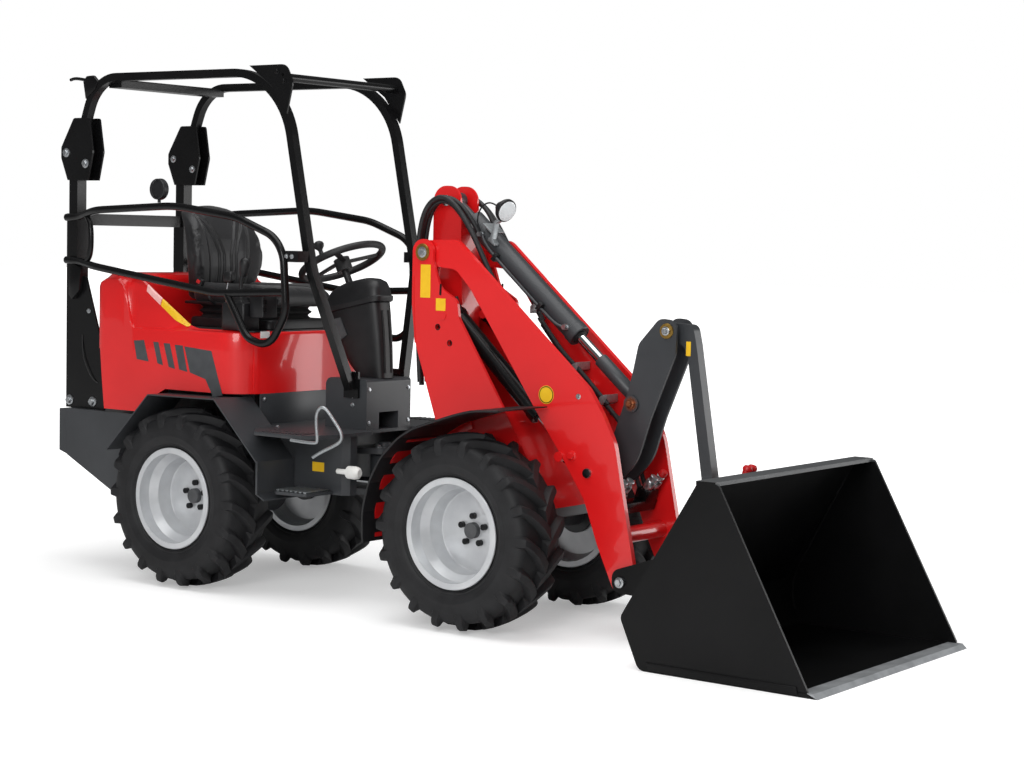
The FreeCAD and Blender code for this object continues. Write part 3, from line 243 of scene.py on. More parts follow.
# ---- tyres ----
# Moulded rubber traction tyres. The carcass is turned; eighteen pairs of slanting lugs are set
# round it, their inner ends leading when the machine drives forwards.


def begin_tree(name, **inputs):
    """A new Geometry Nodes tree with named inputs, and its input node."""
    tree = bpy.data.node_groups.new(name, "GeometryNodeTree")
    for word, kind in {"Geometry": "Geometry", **inputs}.items():
        tree.interface.new_socket(word, in_out="INPUT", socket_type=f"NodeSocket{kind}")
    tree.interface.new_socket("Geometry", in_out="OUTPUT", socket_type="NodeSocketGeometry")
    return tree, add_node(tree, "NodeGroupInput").outputs


def end_tree(tree, shape, finish):
    """Ends a tree: instances made real, then one material over all."""
    solid = add_node(tree, "GeometryNodeRealizeInstances", {0: shape})
    done = add_node(tree, "GeometryNodeSetMaterial", {"Geometry": solid, "Material": finish})
    add_node(tree, "NodeGroupOutput", {0: done})
    return tree


def made_mesh(bm):
    """The bmesh as a mesh, and the bmesh freed."""
    mesh = bpy.data.meshes.new("made")
    bm.to_mesh(mesh)
    bm.free()
    return mesh


def modified(data, kind, tree=None, **values):
    """A plain mesh of the data after one modifier, with its settings or its tree's named inputs."""
    holder = in_scene("holder", data)
    step = holder.modifiers.new("step", kind)
    if tree:
        step.node_group = tree
        for item in tree.interface.items_tree:
            if item.in_out == "INPUT" and item.name in values:
                step[item.identifier] = values[item.name]
    else:
        for name, value in values.items():
            setattr(step, name, value)
    bpy.context.view_layer.update()
    graph = bpy.context.evaluated_depsgraph_get()
    mesh = bpy.data.meshes.new_from_object(holder.evaluated_get(graph))
    bpy.data.objects.remove(holder)
    return mesh


def finished(name, shape, body, slot, *finishes, sharp=35):
    """A finished piece: shaded smooth below an angle, riding on its body if it has one."""
    mesh = made_mesh(shape) if isinstance(shape, bmesh.types.BMesh) else shape
    for finish in finishes:
        mesh.materials.append(finish)
    mesh.shade_smooth()
    mesh.set_sharp_from_angle(angle=math.radians(sharp))
    piece = in_scene(name, mesh)
    if body:
        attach(piece, body)
    return piece


def skinned(bm, rings, around=True, ends=True, loop=False):
    """Faces between neighbouring rings of points and over the two ends, turned outwards."""
    for here, there in zip(rings, rings[1:] + rings[:1] * loop):
        for i in range(len(here) - (not around)):
            j = (i + 1) % len(here)
            bm.faces.new((here[i], here[j], there[j], there[i]))
    if ends:
        bm.faces.new(list(reversed(rings[0])))
        bm.faces.new(rings[-1])
    bmesh.ops.recalc_face_normals(bm, faces=bm.faces)
    return bm


def circle(count):
    """Cosine and sine of each even step round a circle."""
    return [(math.cos(2 * math.pi * k / count), math.sin(2 * math.pi * k / count)) for k in range(count)]


# New carbon-black rubber: deep grey, matt, with a faint moulding bloom and fine grain.
rubber = finish_of("tyre_rubber_black", "161618", "1F1F21", 14.0, 0.6, 700.0, 0.00022, 5,
                   {"Specular IOR Level": 0.4})
around_axle, given = begin_tree("round_axle", Copies="Int", Finish="Material")
step = add_node(around_axle, "Math", {0: 2 * math.pi, 1: given["Copies"]}, operation="DIVIDE")
order = add_node(around_axle, "GeometryNodeInputIndex")
angle = add_node(around_axle, "Math", {0: order, 1: step}, operation="MULTIPLY")
about = add_node(around_axle, "CombineXYZ", {"Y": angle})
line = add_node(around_axle, "GeometryNodeMeshLine", {"Count": given["Copies"], "Offset": (0, 0, 0)})
copies = add_node(around_axle, "GeometryNodeInstanceOnPoints",
                  {"Points": line, "Instance": given["Geometry"], "Rotation": about})
end_tree(around_axle, copies, given["Finish"])

# Half sections in millimetres, (radius, distance out from the wheel's middle).
CARCASS = [(197, 100), (205, 108), (216, 108.5), (222, 113), (226, 118.5), (231, 118.5), (234, 121.5),
           (245, 126.2), (262, 130), (265, 131.2), (269, 130.5), (288, 131.2), (308, 129.2), (326, 124),
           (338, 115), (345, 100), (348.5, 70), (350, 35)]
INSIDE = [(210, -90), (310, -110), (330, 0), (310, 110), (210, 90)]
LUG_TOP = [(300, 130), (325, 131.6), (348, 131), (360.5, 125.5), (366.5, 114), (371.5, 90), (375.5, 60),
           (378.5, 30), (379.5, 6), (379.5, -10)]
LUG_FOOT = [(296, 124), (312, 123.5), (328, 119), (338, 111), (342, 101), (345, 85), (348, 60), (349, 30),
            (349, 6), (349, -10)]
SHOULDER, LUG_WIDTH = 122, 132  # where a lug starts to slant, and how far on it ends
SWEEP, TREAD = 0.29, 360  # a lug's lead at its inner end (radians), and its middle radius


def lug(bm, hand, start):
    """One slanting lug, from the sidewall over the shoulder to just past the middle."""
    rows = []
    for i, ((r1, y1), (r0, y0)) in enumerate(zip(LUG_TOP, LUG_FOOT)):
        t = max(0.0, (SHOULDER - y1) / LUG_WIDTH)
        lead = start + SWEEP * (t + t * t) / 2
        slant = SWEEP * (0.5 + t) / LUG_WIDTH if t else 0.0
        lean = math.sqrt(1 + (slant * TREAD) ** 2)
        top, foot = ((12.5 + 3.5 * t) * lean, (23.5 + 2 * t) * lean) if i else (10, 17)
        row = []
        for w, r, y in ((-foot, r0, y0), (-top - 2.5, r1 - 4, y1), (2 - top, r1, y1),
                        (top - 2, r1, y1), (top + 2.5, r1 - 4, y1), (foot, r0, y0)):
            a = lead + w / r
            row.append(bm.verts.new(Vector((r * math.sin(a), hand * y, r * math.cos(a))) / 1000))
        rows.append(row)
    skinned(bm, rows)


pair = bmesh.new()
lug(pair, 1, 0.0)
lug(pair, -1, math.pi / 18)
whole = bmesh.new()
section = CARCASS + [(r, -y) for r, y in reversed(CARCASS)] + INSIDE
skinned(whole, [[whole.verts.new(Vector((r * s, y, r * c)) / 1000) for r, y in section]
                for c, s in circle(108)], ends=False, loop=True)
whole.from_mesh(modified(made_mesh(pair), "NODES", around_axle, Copies=18, Finish=rubber))
for corner, axle_x, side in corners:
    mesh = bpy.data.meshes.new("traction_tyre")
    whole.to_mesh(mesh)
    mesh.transform(Matrix.Translation(spot(axle_x, side * WHEEL_Y, AXLE_Z)))
    tread = finished(f"traction_tyre_{corner}", mesh, f"{corner}_wheel", "tyre_rubber", rubber)
    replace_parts(tread, f"tyre_{corner}")
whole.free()

# ---- chassis, axles and tail ----
# Welded steel, powder-coated in a fine matt-satin anthracite; the tail is a slab of cast weight
# in the same coat. Bolt heads are zinc-plated and stand on round washers.


def powder_coat(name, first, second, rough, grit=850.0, height=0.00009, rubbed="6A6C6E", shine=0.45):
    """Baked powder paint: even colour, a soft sheen and a fine orange-peel skin."""
    return finish_of(name, first, second, 5.0, rough, grit, height, 3,
                     {"Specular IOR Level": shine, "Coat Weight": 0.1, "Coat Roughness": 0.25},
                     (rubbed, 0.0016, 0.25))


def extruded(outline, low, high, bevel=0.0, plane="xz"):
    """A plate of millimetre outline points, between two levels across it, its edges broken."""
    bm = bmesh.new()
    place = {"xz": lambda a, b, c: (a, c, b), "xy": lambda a, b, c: (a, b, c),
             "yz": lambda a, b, c: (c, a, b)}[plane]
    rows = [[bm.verts.new(spot(*place(a, b, level))) for a, b in outline] for level in (low, high)]
    skinned(bm, rows)
    if bevel:
        bmesh.ops.bevel(bm, geom=list(bm.edges), offset=bevel / 1000, segments=2,
                        profile=0.5, affect="EDGES", clamp_overlap=True)
    return bm


def lathed(*parts, **joined):
    """Solids turned about Z, stacked: each is (sides, [(radius mm, height mm), ...])."""
    bm = bmesh.new()
    for sides, profile in parts:
        skinned(bm, [[bm.verts.new(Vector((r * c, r * s, z)) / 1000) for c, s in circle(sides)]
                     for r, z in profile], **joined)
    return bm


standing, given = begin_tree("set_out", Piece="Object", Finish="Material")
piece = add_node(standing, "GeometryNodeObjectInfo", {"Object": given["Piece"]})
way = add_node(standing, "GeometryNodeInputNamedAttribute", {"Name": "facing"}, data_type="FLOAT_VECTOR")
turned = add_node(standing, "FunctionNodeAlignRotationToVector", {"Vector": way.outputs["Attribute"]},
                  axis="Z")
copies = add_node(standing, "GeometryNodeInstanceOnPoints",
                  {"Points": given["Geometry"], "Instance": piece.outputs["Geometry"], "Rotation": turned})
end_tree(standing, copies, given["Finish"])


def set_out(name, body, slot, piece, places, finish):
    """Copies of a small piece at (millimetre point, facing) places, as one finished piece."""
    one = in_scene("single", made_mesh(piece))
    points = bpy.data.meshes.new("points")
    points.from_pydata([spot(*place) for place, _ in places], [], [])
    facing = points.attributes.new("facing", "FLOAT_VECTOR", "POINT")
    for i, (_, way) in enumerate(places):
        facing.data[i].vector = way
    mesh = modified(points, "NODES", standing, Piece=one, Finish=finish)
    bpy.data.objects.remove(one)
    return finished(name, mesh, body, slot)


# Bright zinc plating: pale bluish metal, a little cloudy.
zinc = finish_of("zinc_plate", "C9CCCE", "A9ADB1", 90.0, 0.3, 600.0, 0.00005, 2, {"Metallic": 0.9})
# Turned and ground pin steel: mid-grey metal with fine tool marks.
steel = finish_of("machined_steel", "A7A8AA", "8C8E91", 40.0, 0.32, 1500.0, 0.00004, 2, {"Metallic": 0.95})
# Painted cast iron of the axle ends and engine: dark, rough and sandy.
cast = finish_of("cast_iron_black", "2B2C2D", "1E1F20", 25.0, 0.68, 420.0, 0.0004, 5)
anthracite = powder_coat("anthracite_powder", "3B3D40", "343639", 0.4)


def bolts(name, body, across, places, finish=zinc, slot="bare_steel"):
    """Hexagon bolt heads, chamfered and on round washers, at their places."""
    head, r = across * 0.55, across / 2 / math.cos(math.pi / 6)
    bolt = lathed((20, [(across * 0.84, -0.4), (across * 0.84, across * 0.11),
                        (across * 0.78, across * 0.14)]),
                  (6, [(r, across * 0.1), (r, head * 0.86), (r * 0.88, head)]))
    return set_out(name, body, slot, bolt, places, finish)


def outward(y, *places):
    """Places (x, z) on both sides of the machine at y, facing outwards."""
    return [((x, s * y, z), (0, s, 0)) for s in (-1, 1) for x, z in places]


for name in ("rear_chassis", "tail_weight", "rear_bumper", "rear_axle", "front_axle",
             "front_chassis", "side_tanks", "rear_mudguards", "floorboards"):
    dressed(name, anthracite)
dressed("tow_hitch", steel)
dressed("engine_block", cast)
left, right, ahead, astern, above = (0, 1, 0), (0, -1, 0), (1, 0, 0), (-1, 0, 0), (0, 0, 1)
hands = ((-1, "right"), (1, "left"))
bolts("tail_bolts", "rear_frame", 24, [((-1556, y, z), astern) for y in (-330, 330) for z in (560, 660)])
bolts("chassis_side_bolts", "rear_frame", 19,
      outward(225.5, *[(x, z) for x in (-1000, -560) for z in (520, 600)]))
bolts("knuckle_bolts", "rear_frame", 17,
      [((x, y, 621.5), above) for x, y in ((-40, 0), (40, 0), (0, 40), (0, -40))])

# ---- hood ----
# Glossy red moulding over the engine: a tall rounded back, a sloping wing down each side with
# a yellow reflecting strip along its crest, a pale pink painted highlight at its upper end,
# and a flat ledge the seat stands on. Screwed on.


def satin_film(name, first, second, rough=0.45):
    """Printed vinyl film: an even colour with the soft shine of plastic foil."""
    return finish_of(name, first, second, 20.0, rough, 500.0, 0.00003)


def bank(low, high, x):
    """How far x has come from low to high, from 0 to 1."""
    return max(0.0, min(1.0, (x - low) / (high - low)))


def along(points, x):
    """The height at x of a line through (x, height) points."""
    for (x0, z0), (x1, z1) in zip(points, points[1:]):
        if x <= x1:
            return z0 + (z1 - z0) * bank(x0, x1, x)
    return points[-1][1]


LOW = [(-1317, 984), (-1292, 984), (-1262, 722), (-1037, 722), (-960, 790), (-885, 829), (-445, 829)]
CREASE = [(-1317, 1252), (-1292, 1275), (-1250, 1292), (-1180, 1288), (-1150, 1262), (-1126, 1217),
          (-1110, 1160), (-1096, 1102), (-1084, 1084), (-445, 1084)]
CREST = [(-1317, 1262), (-1298, 1293), (-1262, 1308), (-1180, 1312), (-1100, 1302), (-1060, 1282),
         (-1000, 1240), (-783, 1104), (-735, 1092), (-445, 1092)]
DECK = [(-1317, 1264), (-1300, 1298), (-1262, 1317), (-1100, 1317), (-1072, 1308), (-1058, 1280),
        (-1054, 1086), (-445, 1086)]
STATIONS = [-1317, -1312, -1304, -1292, -1277, -1262, -1235, -1205, -1180, -1165, -1150, -1138, -1126,
            -1118, -1110, -1103, -1096, -1090, -1084, -1076, -1068, -1061, -1056, -1052, -1030, -1000,
            -960, -925, -885, -840, -783, -755, -735, -700, -640, -600, -575, -562, -550, -538, -526,
            -508, -490, -472, -458, -449, -445]


HOOD_HALF, CORNER, NOSE = 405, 34, 88  # half width, and how far the corners and the nose come in


def half_width(x):
    """Half the hood's width at x, with its rear and front corners rounded off."""
    rear = CORNER * (1 - math.sqrt(max(0.0, 1 - (1 - bank(-1317, -1277, x)) ** 2)))
    front = CORNER * bank(-575, -490, x) ** 2 + NOSE * bank(-490, -445, x) ** 1.6
    return HOOD_HALF - rear - front


def hood_section(x):
    """The hood's outline across the machine at x, from the left edge to the right."""
    w = half_width(x)
    low, crease, crest, deck = (along(line, x) for line in (LOW, CREASE, CREST, DECK))
    half = [(w, low), (w, low + (crease - low) * 0.33), (w, low + (crease - low) * 0.66), (w, crease - 12),
            (w - 3, crease - 3), (w - 10, crease + 1), (w - 26, crease + (crest - crease) * 0.45),
            (w - 42, crest - 5), (w - 49, crest), (w - 58, max(deck, crest - 4)),
            (w - 66, deck + (crest - deck) * 0.5), (w - 72, deck), (w * 0.5, deck), (0, deck)]
    return half + [(-y, z) for y, z in reversed(half[:-1])]


# Two-coat red enamel: saturated, wet-looking, with a very faint orange-peel skin.
red = finish_of("red_gloss_enamel", "DE1A1C", "D81618", 3.0, 0.3, 160.0, 0.000035, 1,
                {"Specular IOR Level": 0.4, "Coat Weight": 0.6, "Coat Roughness": 0.05})
grey_film = satin_film("grey_stripe_film", "47494C", "404245")
yellow_film = satin_film("yellow_label_film", "F2C21A", "EBB811")
# Pale pink film laid on the wings' upper crest: a painted highlight, the shine the red crest takes there.
painted_highlight_film = satin_film("painted_highlight_pink_film", "F2B8B4", "EFB0AC", 0.35)
shell = bmesh.new()
skinned(shell, [[shell.verts.new(spot(x, y, z)) for y, z in hood_section(x)] for x in STATIONS], False)
walled = modified(made_mesh(shell), "SOLIDIFY", thickness=0.005, offset=-1)
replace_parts(finished("hood_shell", walled, "rear_frame", "red_paint", red, sharp=28), "hood")

STRIPES = [
    [(-1077, 1027), (-1015, 1032), (-986, 941), (-1058, 948)],
    [(-958, 1027), (-927, 1027), (-898, 929), (-931, 936)],
    [(-895, 1024), (-858, 1024), (-825, 917), (-863, 924)],
    [(-828, 1020), (-781, 1019), (-752, 909), (-800, 916)],
    [(-771, 1016), (-612, 1004), (-545, 822), (-600, 813), (-645, 884), (-736, 907)]]


def strip(name, low, high, finish, side):
    """A band on the wing's crest between two places along it: yellow reflecting film, or the pale pink
    painted highlight.
    """
    band, edges = bmesh.new(), []
    for k in range(9):
        x = low + (high - low) * k / 8
        w, z, crease = half_width(x), along(CREST, x), along(CREASE, x)
        drop = z - 3.6 - crease - (z - crease) * 0.56 - 2
        share = min(1.0, 24 / max(drop, 1.0))
        edges.append([band.verts.new(spot(x, side * y, height)) for y, height in (
            (w - 49, z + 1.2), (w - 42, z - 3.6), (w - 42 + share * 14, z - 3.6 - share * drop))])
    skinned(band, edges, False, False)
    thick = modified(made_mesh(band), "SOLIDIFY", thickness=0.0006, offset=1)
    finished(name, thick, "rear_frame", "red_paint", finish)


for side, word in hands:
    film = bmesh.new()
    for outline in STRIPES:
        film.from_mesh(made_mesh(extruded(outline, side * (HOOD_HALF - 0.4), side * (HOOD_HALF + 0.9))))
    finished(f"hood_stripes_{word}", film, "rear_frame", "anthracite_paint", grey_film)
for side, word in hands:
    strip(f"strip_yellow_{word}", -950, -783, yellow_film, side)
    # the yellow strip is real film; the pale pink band above it is a painted highlight
    strip(f"strip_pale_{word}", -1040, -953, painted_highlight_film, side)

# ---- engine lid ----
# A red pressed door closing the hood's back, louvred for the cooler behind it; it swings up on
# a rod through its top edge.
row_tree, given = begin_tree("slats", Slats="Int", Step="Vector", Finish="Material")
line = add_node(row_tree, "GeometryNodeMeshLine", {"Count": given["Slats"], "Offset": given["Step"]})
copies = add_node(row_tree, "GeometryNodeInstanceOnPoints", {"Points": line, "Instance": given["Geometry"]})
end_tree(row_tree, copies, given["Finish"])


def stacked(piece, count, step, finish):
    """The mesh of a piece repeated in an even row."""
    return modified(made_mesh(piece), "NODES", row_tree, Slats=count, Step=[s / 1000 for s in step],
                    Finish=finish)


# Moulded black polypropylene: deep charcoal, half-matt, finely grained.
moulded = finish_of("moulded_black", "151517", "1B1B1D", 18.0, 0.45, 1100.0, 0.00012, 3)
dressed("engine_lid", red)
slat = extruded([(-1275, 812), (-1271, 812), (-1283, 838), (-1287, 838)], -215, 215, 1.2)
finished("lid_louvres", stacked(slat, 10, (-2.2, 0, 34), moulded), "engine_lid", "black_plastic")
bolts("lid_screws", "engine_lid", 10,
      [((-1270 - 31 * (z - 730) / 532, y, z), astern) for y in (-262, 262) for z in (760, 1000)])

# ---- seat platform and riser ----
# The red front wall under the seat, with rounded corners running into the hood's sides, stands
# on an anthracite riser plate screwed to the floor; a dark deck plate carries the seat.
on_cab = ("rear_frame", "black_plastic", moulded)
on_chassis = ("rear_frame", "anthracite_paint", anthracite)
FRONT = [(-449, -318), (-445, -308), (-438, -290), (-437, 0), (-438, 290), (-445, 308), (-449, 318)]
panel = bmesh.new()
skinned(panel, [[panel.verts.new(spot(x - inset, y, z))
                 for x, y in FRONT + [(x - 6, y) for x, y in reversed(FRONT)]]
                for z, inset in ((829, 0), (900, 0), (1000, 0), (1070, 0), (1080, 2), (1085, 7))])
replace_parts(finished("front_wall", panel, "rear_frame", "red_paint", red, sharp=50), "seat_console")
finished("riser_plate", extruded([(-290, 687), (290, 687), (290, 829), (-290, 829)], -445, -436.6, 2.0, "yz"),
         *on_chassis)
finished("seat_deck", extruded([(-1040, -340), (-470, -340), (-448, -318), (-448, 318), (-470, 340),
                                (-1040, 340)], 1086, 1092.5, 1.5, "xy"), *on_cab)

# ---- floor, steps, pedestal and mudguards ----
# Folded and coated sheet. The outer step of the floor carries pressed ribs for grip, the low
# step a row of galvanised teeth, and bent galvanised hooks hold the articulation lock.

# Hot-dip galvanised steel: pale grey zinc crystals a few millimetres across.
galv, tree = blank_material("galvanised_steel")
crystals = pattern(tree, "TexVoronoi", 160.0)
spangle = add_node(tree, "Mix", {0: crystals.outputs["Color"], 6: linear("B4B8BA"), 7: linear("9A9FA2")},
                   data_type="RGBA")
zinc_grain = pattern(tree, "TexNoise", 300.0, {"Detail": 2})
relief = add_node(tree, "Bump", {"Strength": 1.0, "Distance": 0.00006, "Height": zinc_grain})
body_shader(tree, {"Base Color": spangle.outputs[2], "Metallic": 0.75, "Roughness": 0.42, "Normal": relief})
dressed("pedestal", anthracite)
dressed("low_steps", anthracite)


def box_of(a0, b0, a1, b1):
    """A rectangle's outline between two corners."""
    return [(a0, b0), (a1, b0), (a1, b1), (a0, b1)]


for side, word in hands:
    rib = extruded([(-238, side * 420), (-226, side * 420), (-212, side * 508), (-224, side * 508)],
                   699, 704, 2.0, "xy")
    finished(f"step_ribs_{word}", stacked(rib, 9, (26, 0, 0), anthracite), *on_chassis[:2])
    rim = extruded([(-262, side * 512), (-258, side * 516), (2, side * 529), (60, side * 438),
                    (54, side * 434), (-2, side * 520)], 684, 700.5, 1.0, "xy")
    finished(f"step_rim_{word}", rim, *on_chassis)
    tooth = extruded([(-198, 455), (-190, 455), (-184, 463), (-204, 463)], side * 300, side * 440, 1.0)
    finished(f"low_step_teeth_{word}", stacked(tooth, 7, (24, 0, 0), galv), "rear_frame", "bare_steel")
    lip = extruded([(-246, 443), (-240, 441), (-240, 575), (-249, 577)], side * 505, side * 514, 1.0)
    finished(f"mudguard_lip_{word}", lip, *on_chassis)
    label = extruded(box_of(-142, 531, -78, 569), side * 289.9, side * 290.6)
    finished(f"box_label_{word}", label, "rear_frame", "black_plastic", yellow_film)
bolts("floor_bolts", "rear_frame", 11,
      [((-436.8, y, 806), ahead) for y in (-268, 268)] + [((-330, s * 300, 700), above) for s in (-1, 1)]
      + outward(142, (-58, 836), (-58, 800)) + [((18, y, z), ahead) for y in (-126, 126) for z in (866, 728)])

bar_tree, given = begin_tree("swept_bar", Radius="Float", Sides="Int", Step="Float", Finish="Material")
even = add_node(bar_tree, "GeometryNodeResampleCurve", {"Curve": given["Geometry"], "Length": given["Step"]},
                mode="LENGTH")
ring = add_node(bar_tree, "GeometryNodeCurvePrimitiveCircle",
                {"Resolution": given["Sides"], "Radius": given["Radius"]})
tube = add_node(bar_tree, "GeometryNodeCurveToMesh",
                {"Curve": even, "Profile Curve": ring, "Fill Caps": True})
end_tree(bar_tree, tube, given["Finish"])


def bar(name, points, radius, body, slot, finish, sides=14, step=9, order=3, closed=False, sharp=35):
    """A round bar or hose of a millimetre radius along a smooth line."""
    line = bpy.data.curves.new("line", "CURVE")
    line.dimensions = "3D"
    run = line.splines.new("NURBS")
    run.points.add(len(points) - 1)
    for point, place in zip(run.points, points):
        point.co = (*spot(*place), 1)
    run.order_u = order
    run.use_endpoint_u = not closed
    run.use_cyclic_u = closed
    run.resolution_u = 12
    mesh = modified(line, "NODES", bar_tree, Radius=radius / 1000, Sides=sides, Step=step / 1000,
                    Finish=finish)
    return finished(name, mesh, body, slot, sharp=sharp)


def placed(bm, turning, at):
    """A shape turned about the origin and then moved to its place."""
    bmesh.ops.rotate(bm, cent=(0, 0, 0), matrix=turning, verts=bm.verts)
    bmesh.ops.translate(bm, vec=at, verts=bm.verts)
    return bm


HOOK = [(-38, -536, 681), (10, -538, 679), (70, -538, 678), (104, -540, 680), (108, -542, 700),
        (100, -542, 760), (100, -540, 800), (118, -536, 824), (140, -530, 818), (176, -520, 770),
        (206, -512, 728), (208, -510, 696), (170, -510, 672), (96, -512, 640), (60, -514, 618)]
bar("lock_hook", HOOK, 6.5, "rear_frame", "bare_steel", galv, 12, 7, sharp=50)
pointer = lathed((24, [(11, 0), (11, 52), (9, 55)]),
                 (24, [(13, 54), (26, 60), (27, 92), (24, 108), (14, 118)]))
white = satin_film("white_nylon", "E9E9E6", "DEDEDA", 0.4)
finished("filler_cap", placed(pointer, Matrix.Rotation(math.pi / 2, 3, "Y"), spot(20, -318, 545)),
         "rear_frame", "black_plastic", white, sharp=40)


def round_wheel(radius, *degrees):
    """Side-view places round the front axle, at a radius and each of some angles."""
    return [(AXLE_X + radius * math.cos(math.radians(a)), AXLE_Z + radius * math.sin(math.radians(a)))
            for a in degrees]


# the front mudguards: black moulded strips over red-painted steel inner guards
dressed("front_mudguards", moulded)
for side, word in hands:
    fan = round_wheel(424.5, *range(188, 105, -4)) + round_wheel(392, *range(108, 189, 4))
    finished(f"inner_guard_{word}", extruded(fan, side * 206, side * 214, 1.0),
             "front_frame", "red_paint", red)
    sheet = round_wheel(425.2, *range(188, 127, -4)) + round_wheel(423, *range(128, 189, 4))
    finished(f"guard_lining_{word}", extruded(sheet, side * 214, side * 440), "front_frame", "red_paint", red)
    edge = round_wheel(428.5, *range(190, 113, -5)) + [(745, 828), (838, 852), (905, 856), (970, 860)]
    bar(f"guard_lip_{word}", [(x, side * 510.5, z) for x, z in edge], 4.2, "front_frame", "black_plastic",
        moulded, 10, 12)
bolts("mudguard_bolts", "front_frame", 10,
      [((x, s * 470, z), ((x - AXLE_X) / 432, 0, (z - AXLE_Z) / 432))
       for s in (-1, 1) for x, z in round_wheel(432, 128, 168)])

# ---- roll-over frame ----
# Welded square and oval tube in satin black powder: rear posts on bolted feet, two bent hoops
# clamped in cast sleeves so that they fold back, corner plates, and round-bar side guards.
rops_black = powder_coat("rops_black_powder", "0B0B0C", "101011", 0.26, 700.0, 0.00005, "303132", 0.25)
on_frame = ("rear_frame", "frame_black", rops_black)
for name in ("rops_posts", "rops_hoops", "rops_gussets", "rops_cross_members", "side_guards"):
    dressed(name, rops_black)
bolts("frame_foot_bolts", "rear_frame", 27, outward(360.3, (-1533, 741), (-1384, 741)))
bolts("frame_small_bolts", "rear_frame", 13, outward(360.3, (-1412, 1142), (-1500, 1262)))
sleeve_at = ((-1560, 1838), (-1436, 1790))
bolts("sleeve_bolts", "rear_frame", 24, outward(363.2, *sleeve_at))
bolts("sleeve_bolt_ends", "rear_frame", 20,
      [((x, s * 290.8, z), (0, -s, 0)) for s in (-1, 1) for x, z in sleeve_at])
bolts("gusset_bolts", "rear_frame", 15, outward(362.2, (-262, 2118), (-300, 2158)), rops_black, "frame_black")
bolts("guard_bolts", "rear_frame", 12, outward(422.5, (-150, 1408), (-180, 1408)))
for side, word in hands:
    bar(f"guard_upright_{word}", [(x, side * y, z) for x, y, z in (
        (-1402, 394, 1566), (-1366, 404, 1546), (-1348, 408, 1500), (-1348, 408, 1420), (-1362, 405, 1374),
        (-1400, 394, 1352))], 12, *on_frame, 14, 12)
    clamp = extruded([(-1500, 1190), (-1452, 1230), (-1440, 1330), (-1490, 1352), (-1520, 1330),
                      (-1520, 1210)], side * 360, side * 384, 5.0)
    finished(f"guard_clamp_{word}", clamp, *on_frame)
bar("lid_check_cable", [(-1452, -361, 1035), (-1450, -366, 960), (-1410, -368, 880), (-1372, -366, 835),
                        (-1352, -361, 826)], 2.4, *on_cab, 8, 10)
finished("rear_tie_plate", extruded(box_of(-1342, -318, -1262, 318), 2150.5, 2155.5, 1.5, "xy"), *on_frame)
bar("hoop_clamp_bar", [(-1548, -352, 2158), (-1530, -352, 2164), (-1490, -350, 2162), (-1430, -350, 2152)], 7,
    *on_frame, 12, 8)
finished("hoop_clamp_jaw", extruded([(-1446, 2072), (-1386, 2112), (-1366, 2146), (-1398, 2174),
                                     (-1440, 2172), (-1462, 2150)], -358, -342, 3.0), *on_frame)
finished("deck_tag", extruded(box_of(-296, 1062, -240, 1090), -437.2, -435.6, 0.4, "yz"),
         "rear_frame", "black_plastic", white)

# ---- rear lamp ----
# A round stop lamp seen edge-on from the front: a black housing on a stem, with a red lens
# behind it and a moulded rim.


def clear_lens(name, colour):
    """Moulded acrylic lens: glassy, tinted, with small optic pillows inside."""
    made, tree = blank_material(name)
    pillows = pattern(tree, "TexVoronoi", 190.0)
    relief = add_node(tree, "Bump", {"Strength": 0.6, "Distance": 0.0006, "Height": pillows})
    body_shader(tree, {"Base Color": linear(colour), "Roughness": 0.08, "IOR": 1.49, "Coat Weight": 0.5,
                       "Normal": relief})
    return made


lamp_red, lamp_clear = clear_lens("red_lens", "7A0A0C"), clear_lens("clear_lens", "E6EAEC")
for face in dressed("rear_work_lamp", moulded, lamp_red).polygons:
    face.material_index = 1 if face.normal.x < -0.6 and face.center.z > 1.64 else 0
bar("rear_lamp_rim", [(-914, -422 + 43 * c, 1676 + 43 * s) for c, s in circle(12)], 3.2,
    *on_cab, 8, 6, 4, True)

# ---- driver's seat ----
# Foam pads under grained black vinyl, sewn in a V of channels between side bolsters, in a hard
# moulded back shell. The seat rides on a folded rubber boot that hides its sprung base.

# Grained seat vinyl: pebbles a millimetre across, a dry shine, a little greyer in patches.
vinyl_black = finish_of("seat_vinyl_black", "161618", "202022", 9.0, 0.45, 750.0, 0.0004, 0,
                        {"Sheen Weight": 0.15, "Sheen Roughness": 0.4}, cells=0.5)


def pillow(half, radius, cuts):
    """A box with round edges, as a fine even grid about the origin (millimetres)."""
    bm = bmesh.new()
    bmesh.ops.create_cube(bm, size=2.0)
    bmesh.ops.subdivide_edges(bm, edges=bm.edges, cuts=cuts, use_grid_fill=True)
    for vert in bm.verts:
        place = [vert.co[i] * half[i] for i in range(3)]
        core = [max(-half[i] + radius, min(half[i] - radius, place[i])) for i in range(3)]
        away = Vector([place[i] - core[i] for i in range(3)])
        if away.length > radius:
            away = away.normalized() * radius
        vert.co = Vector(core) + away
    return bm


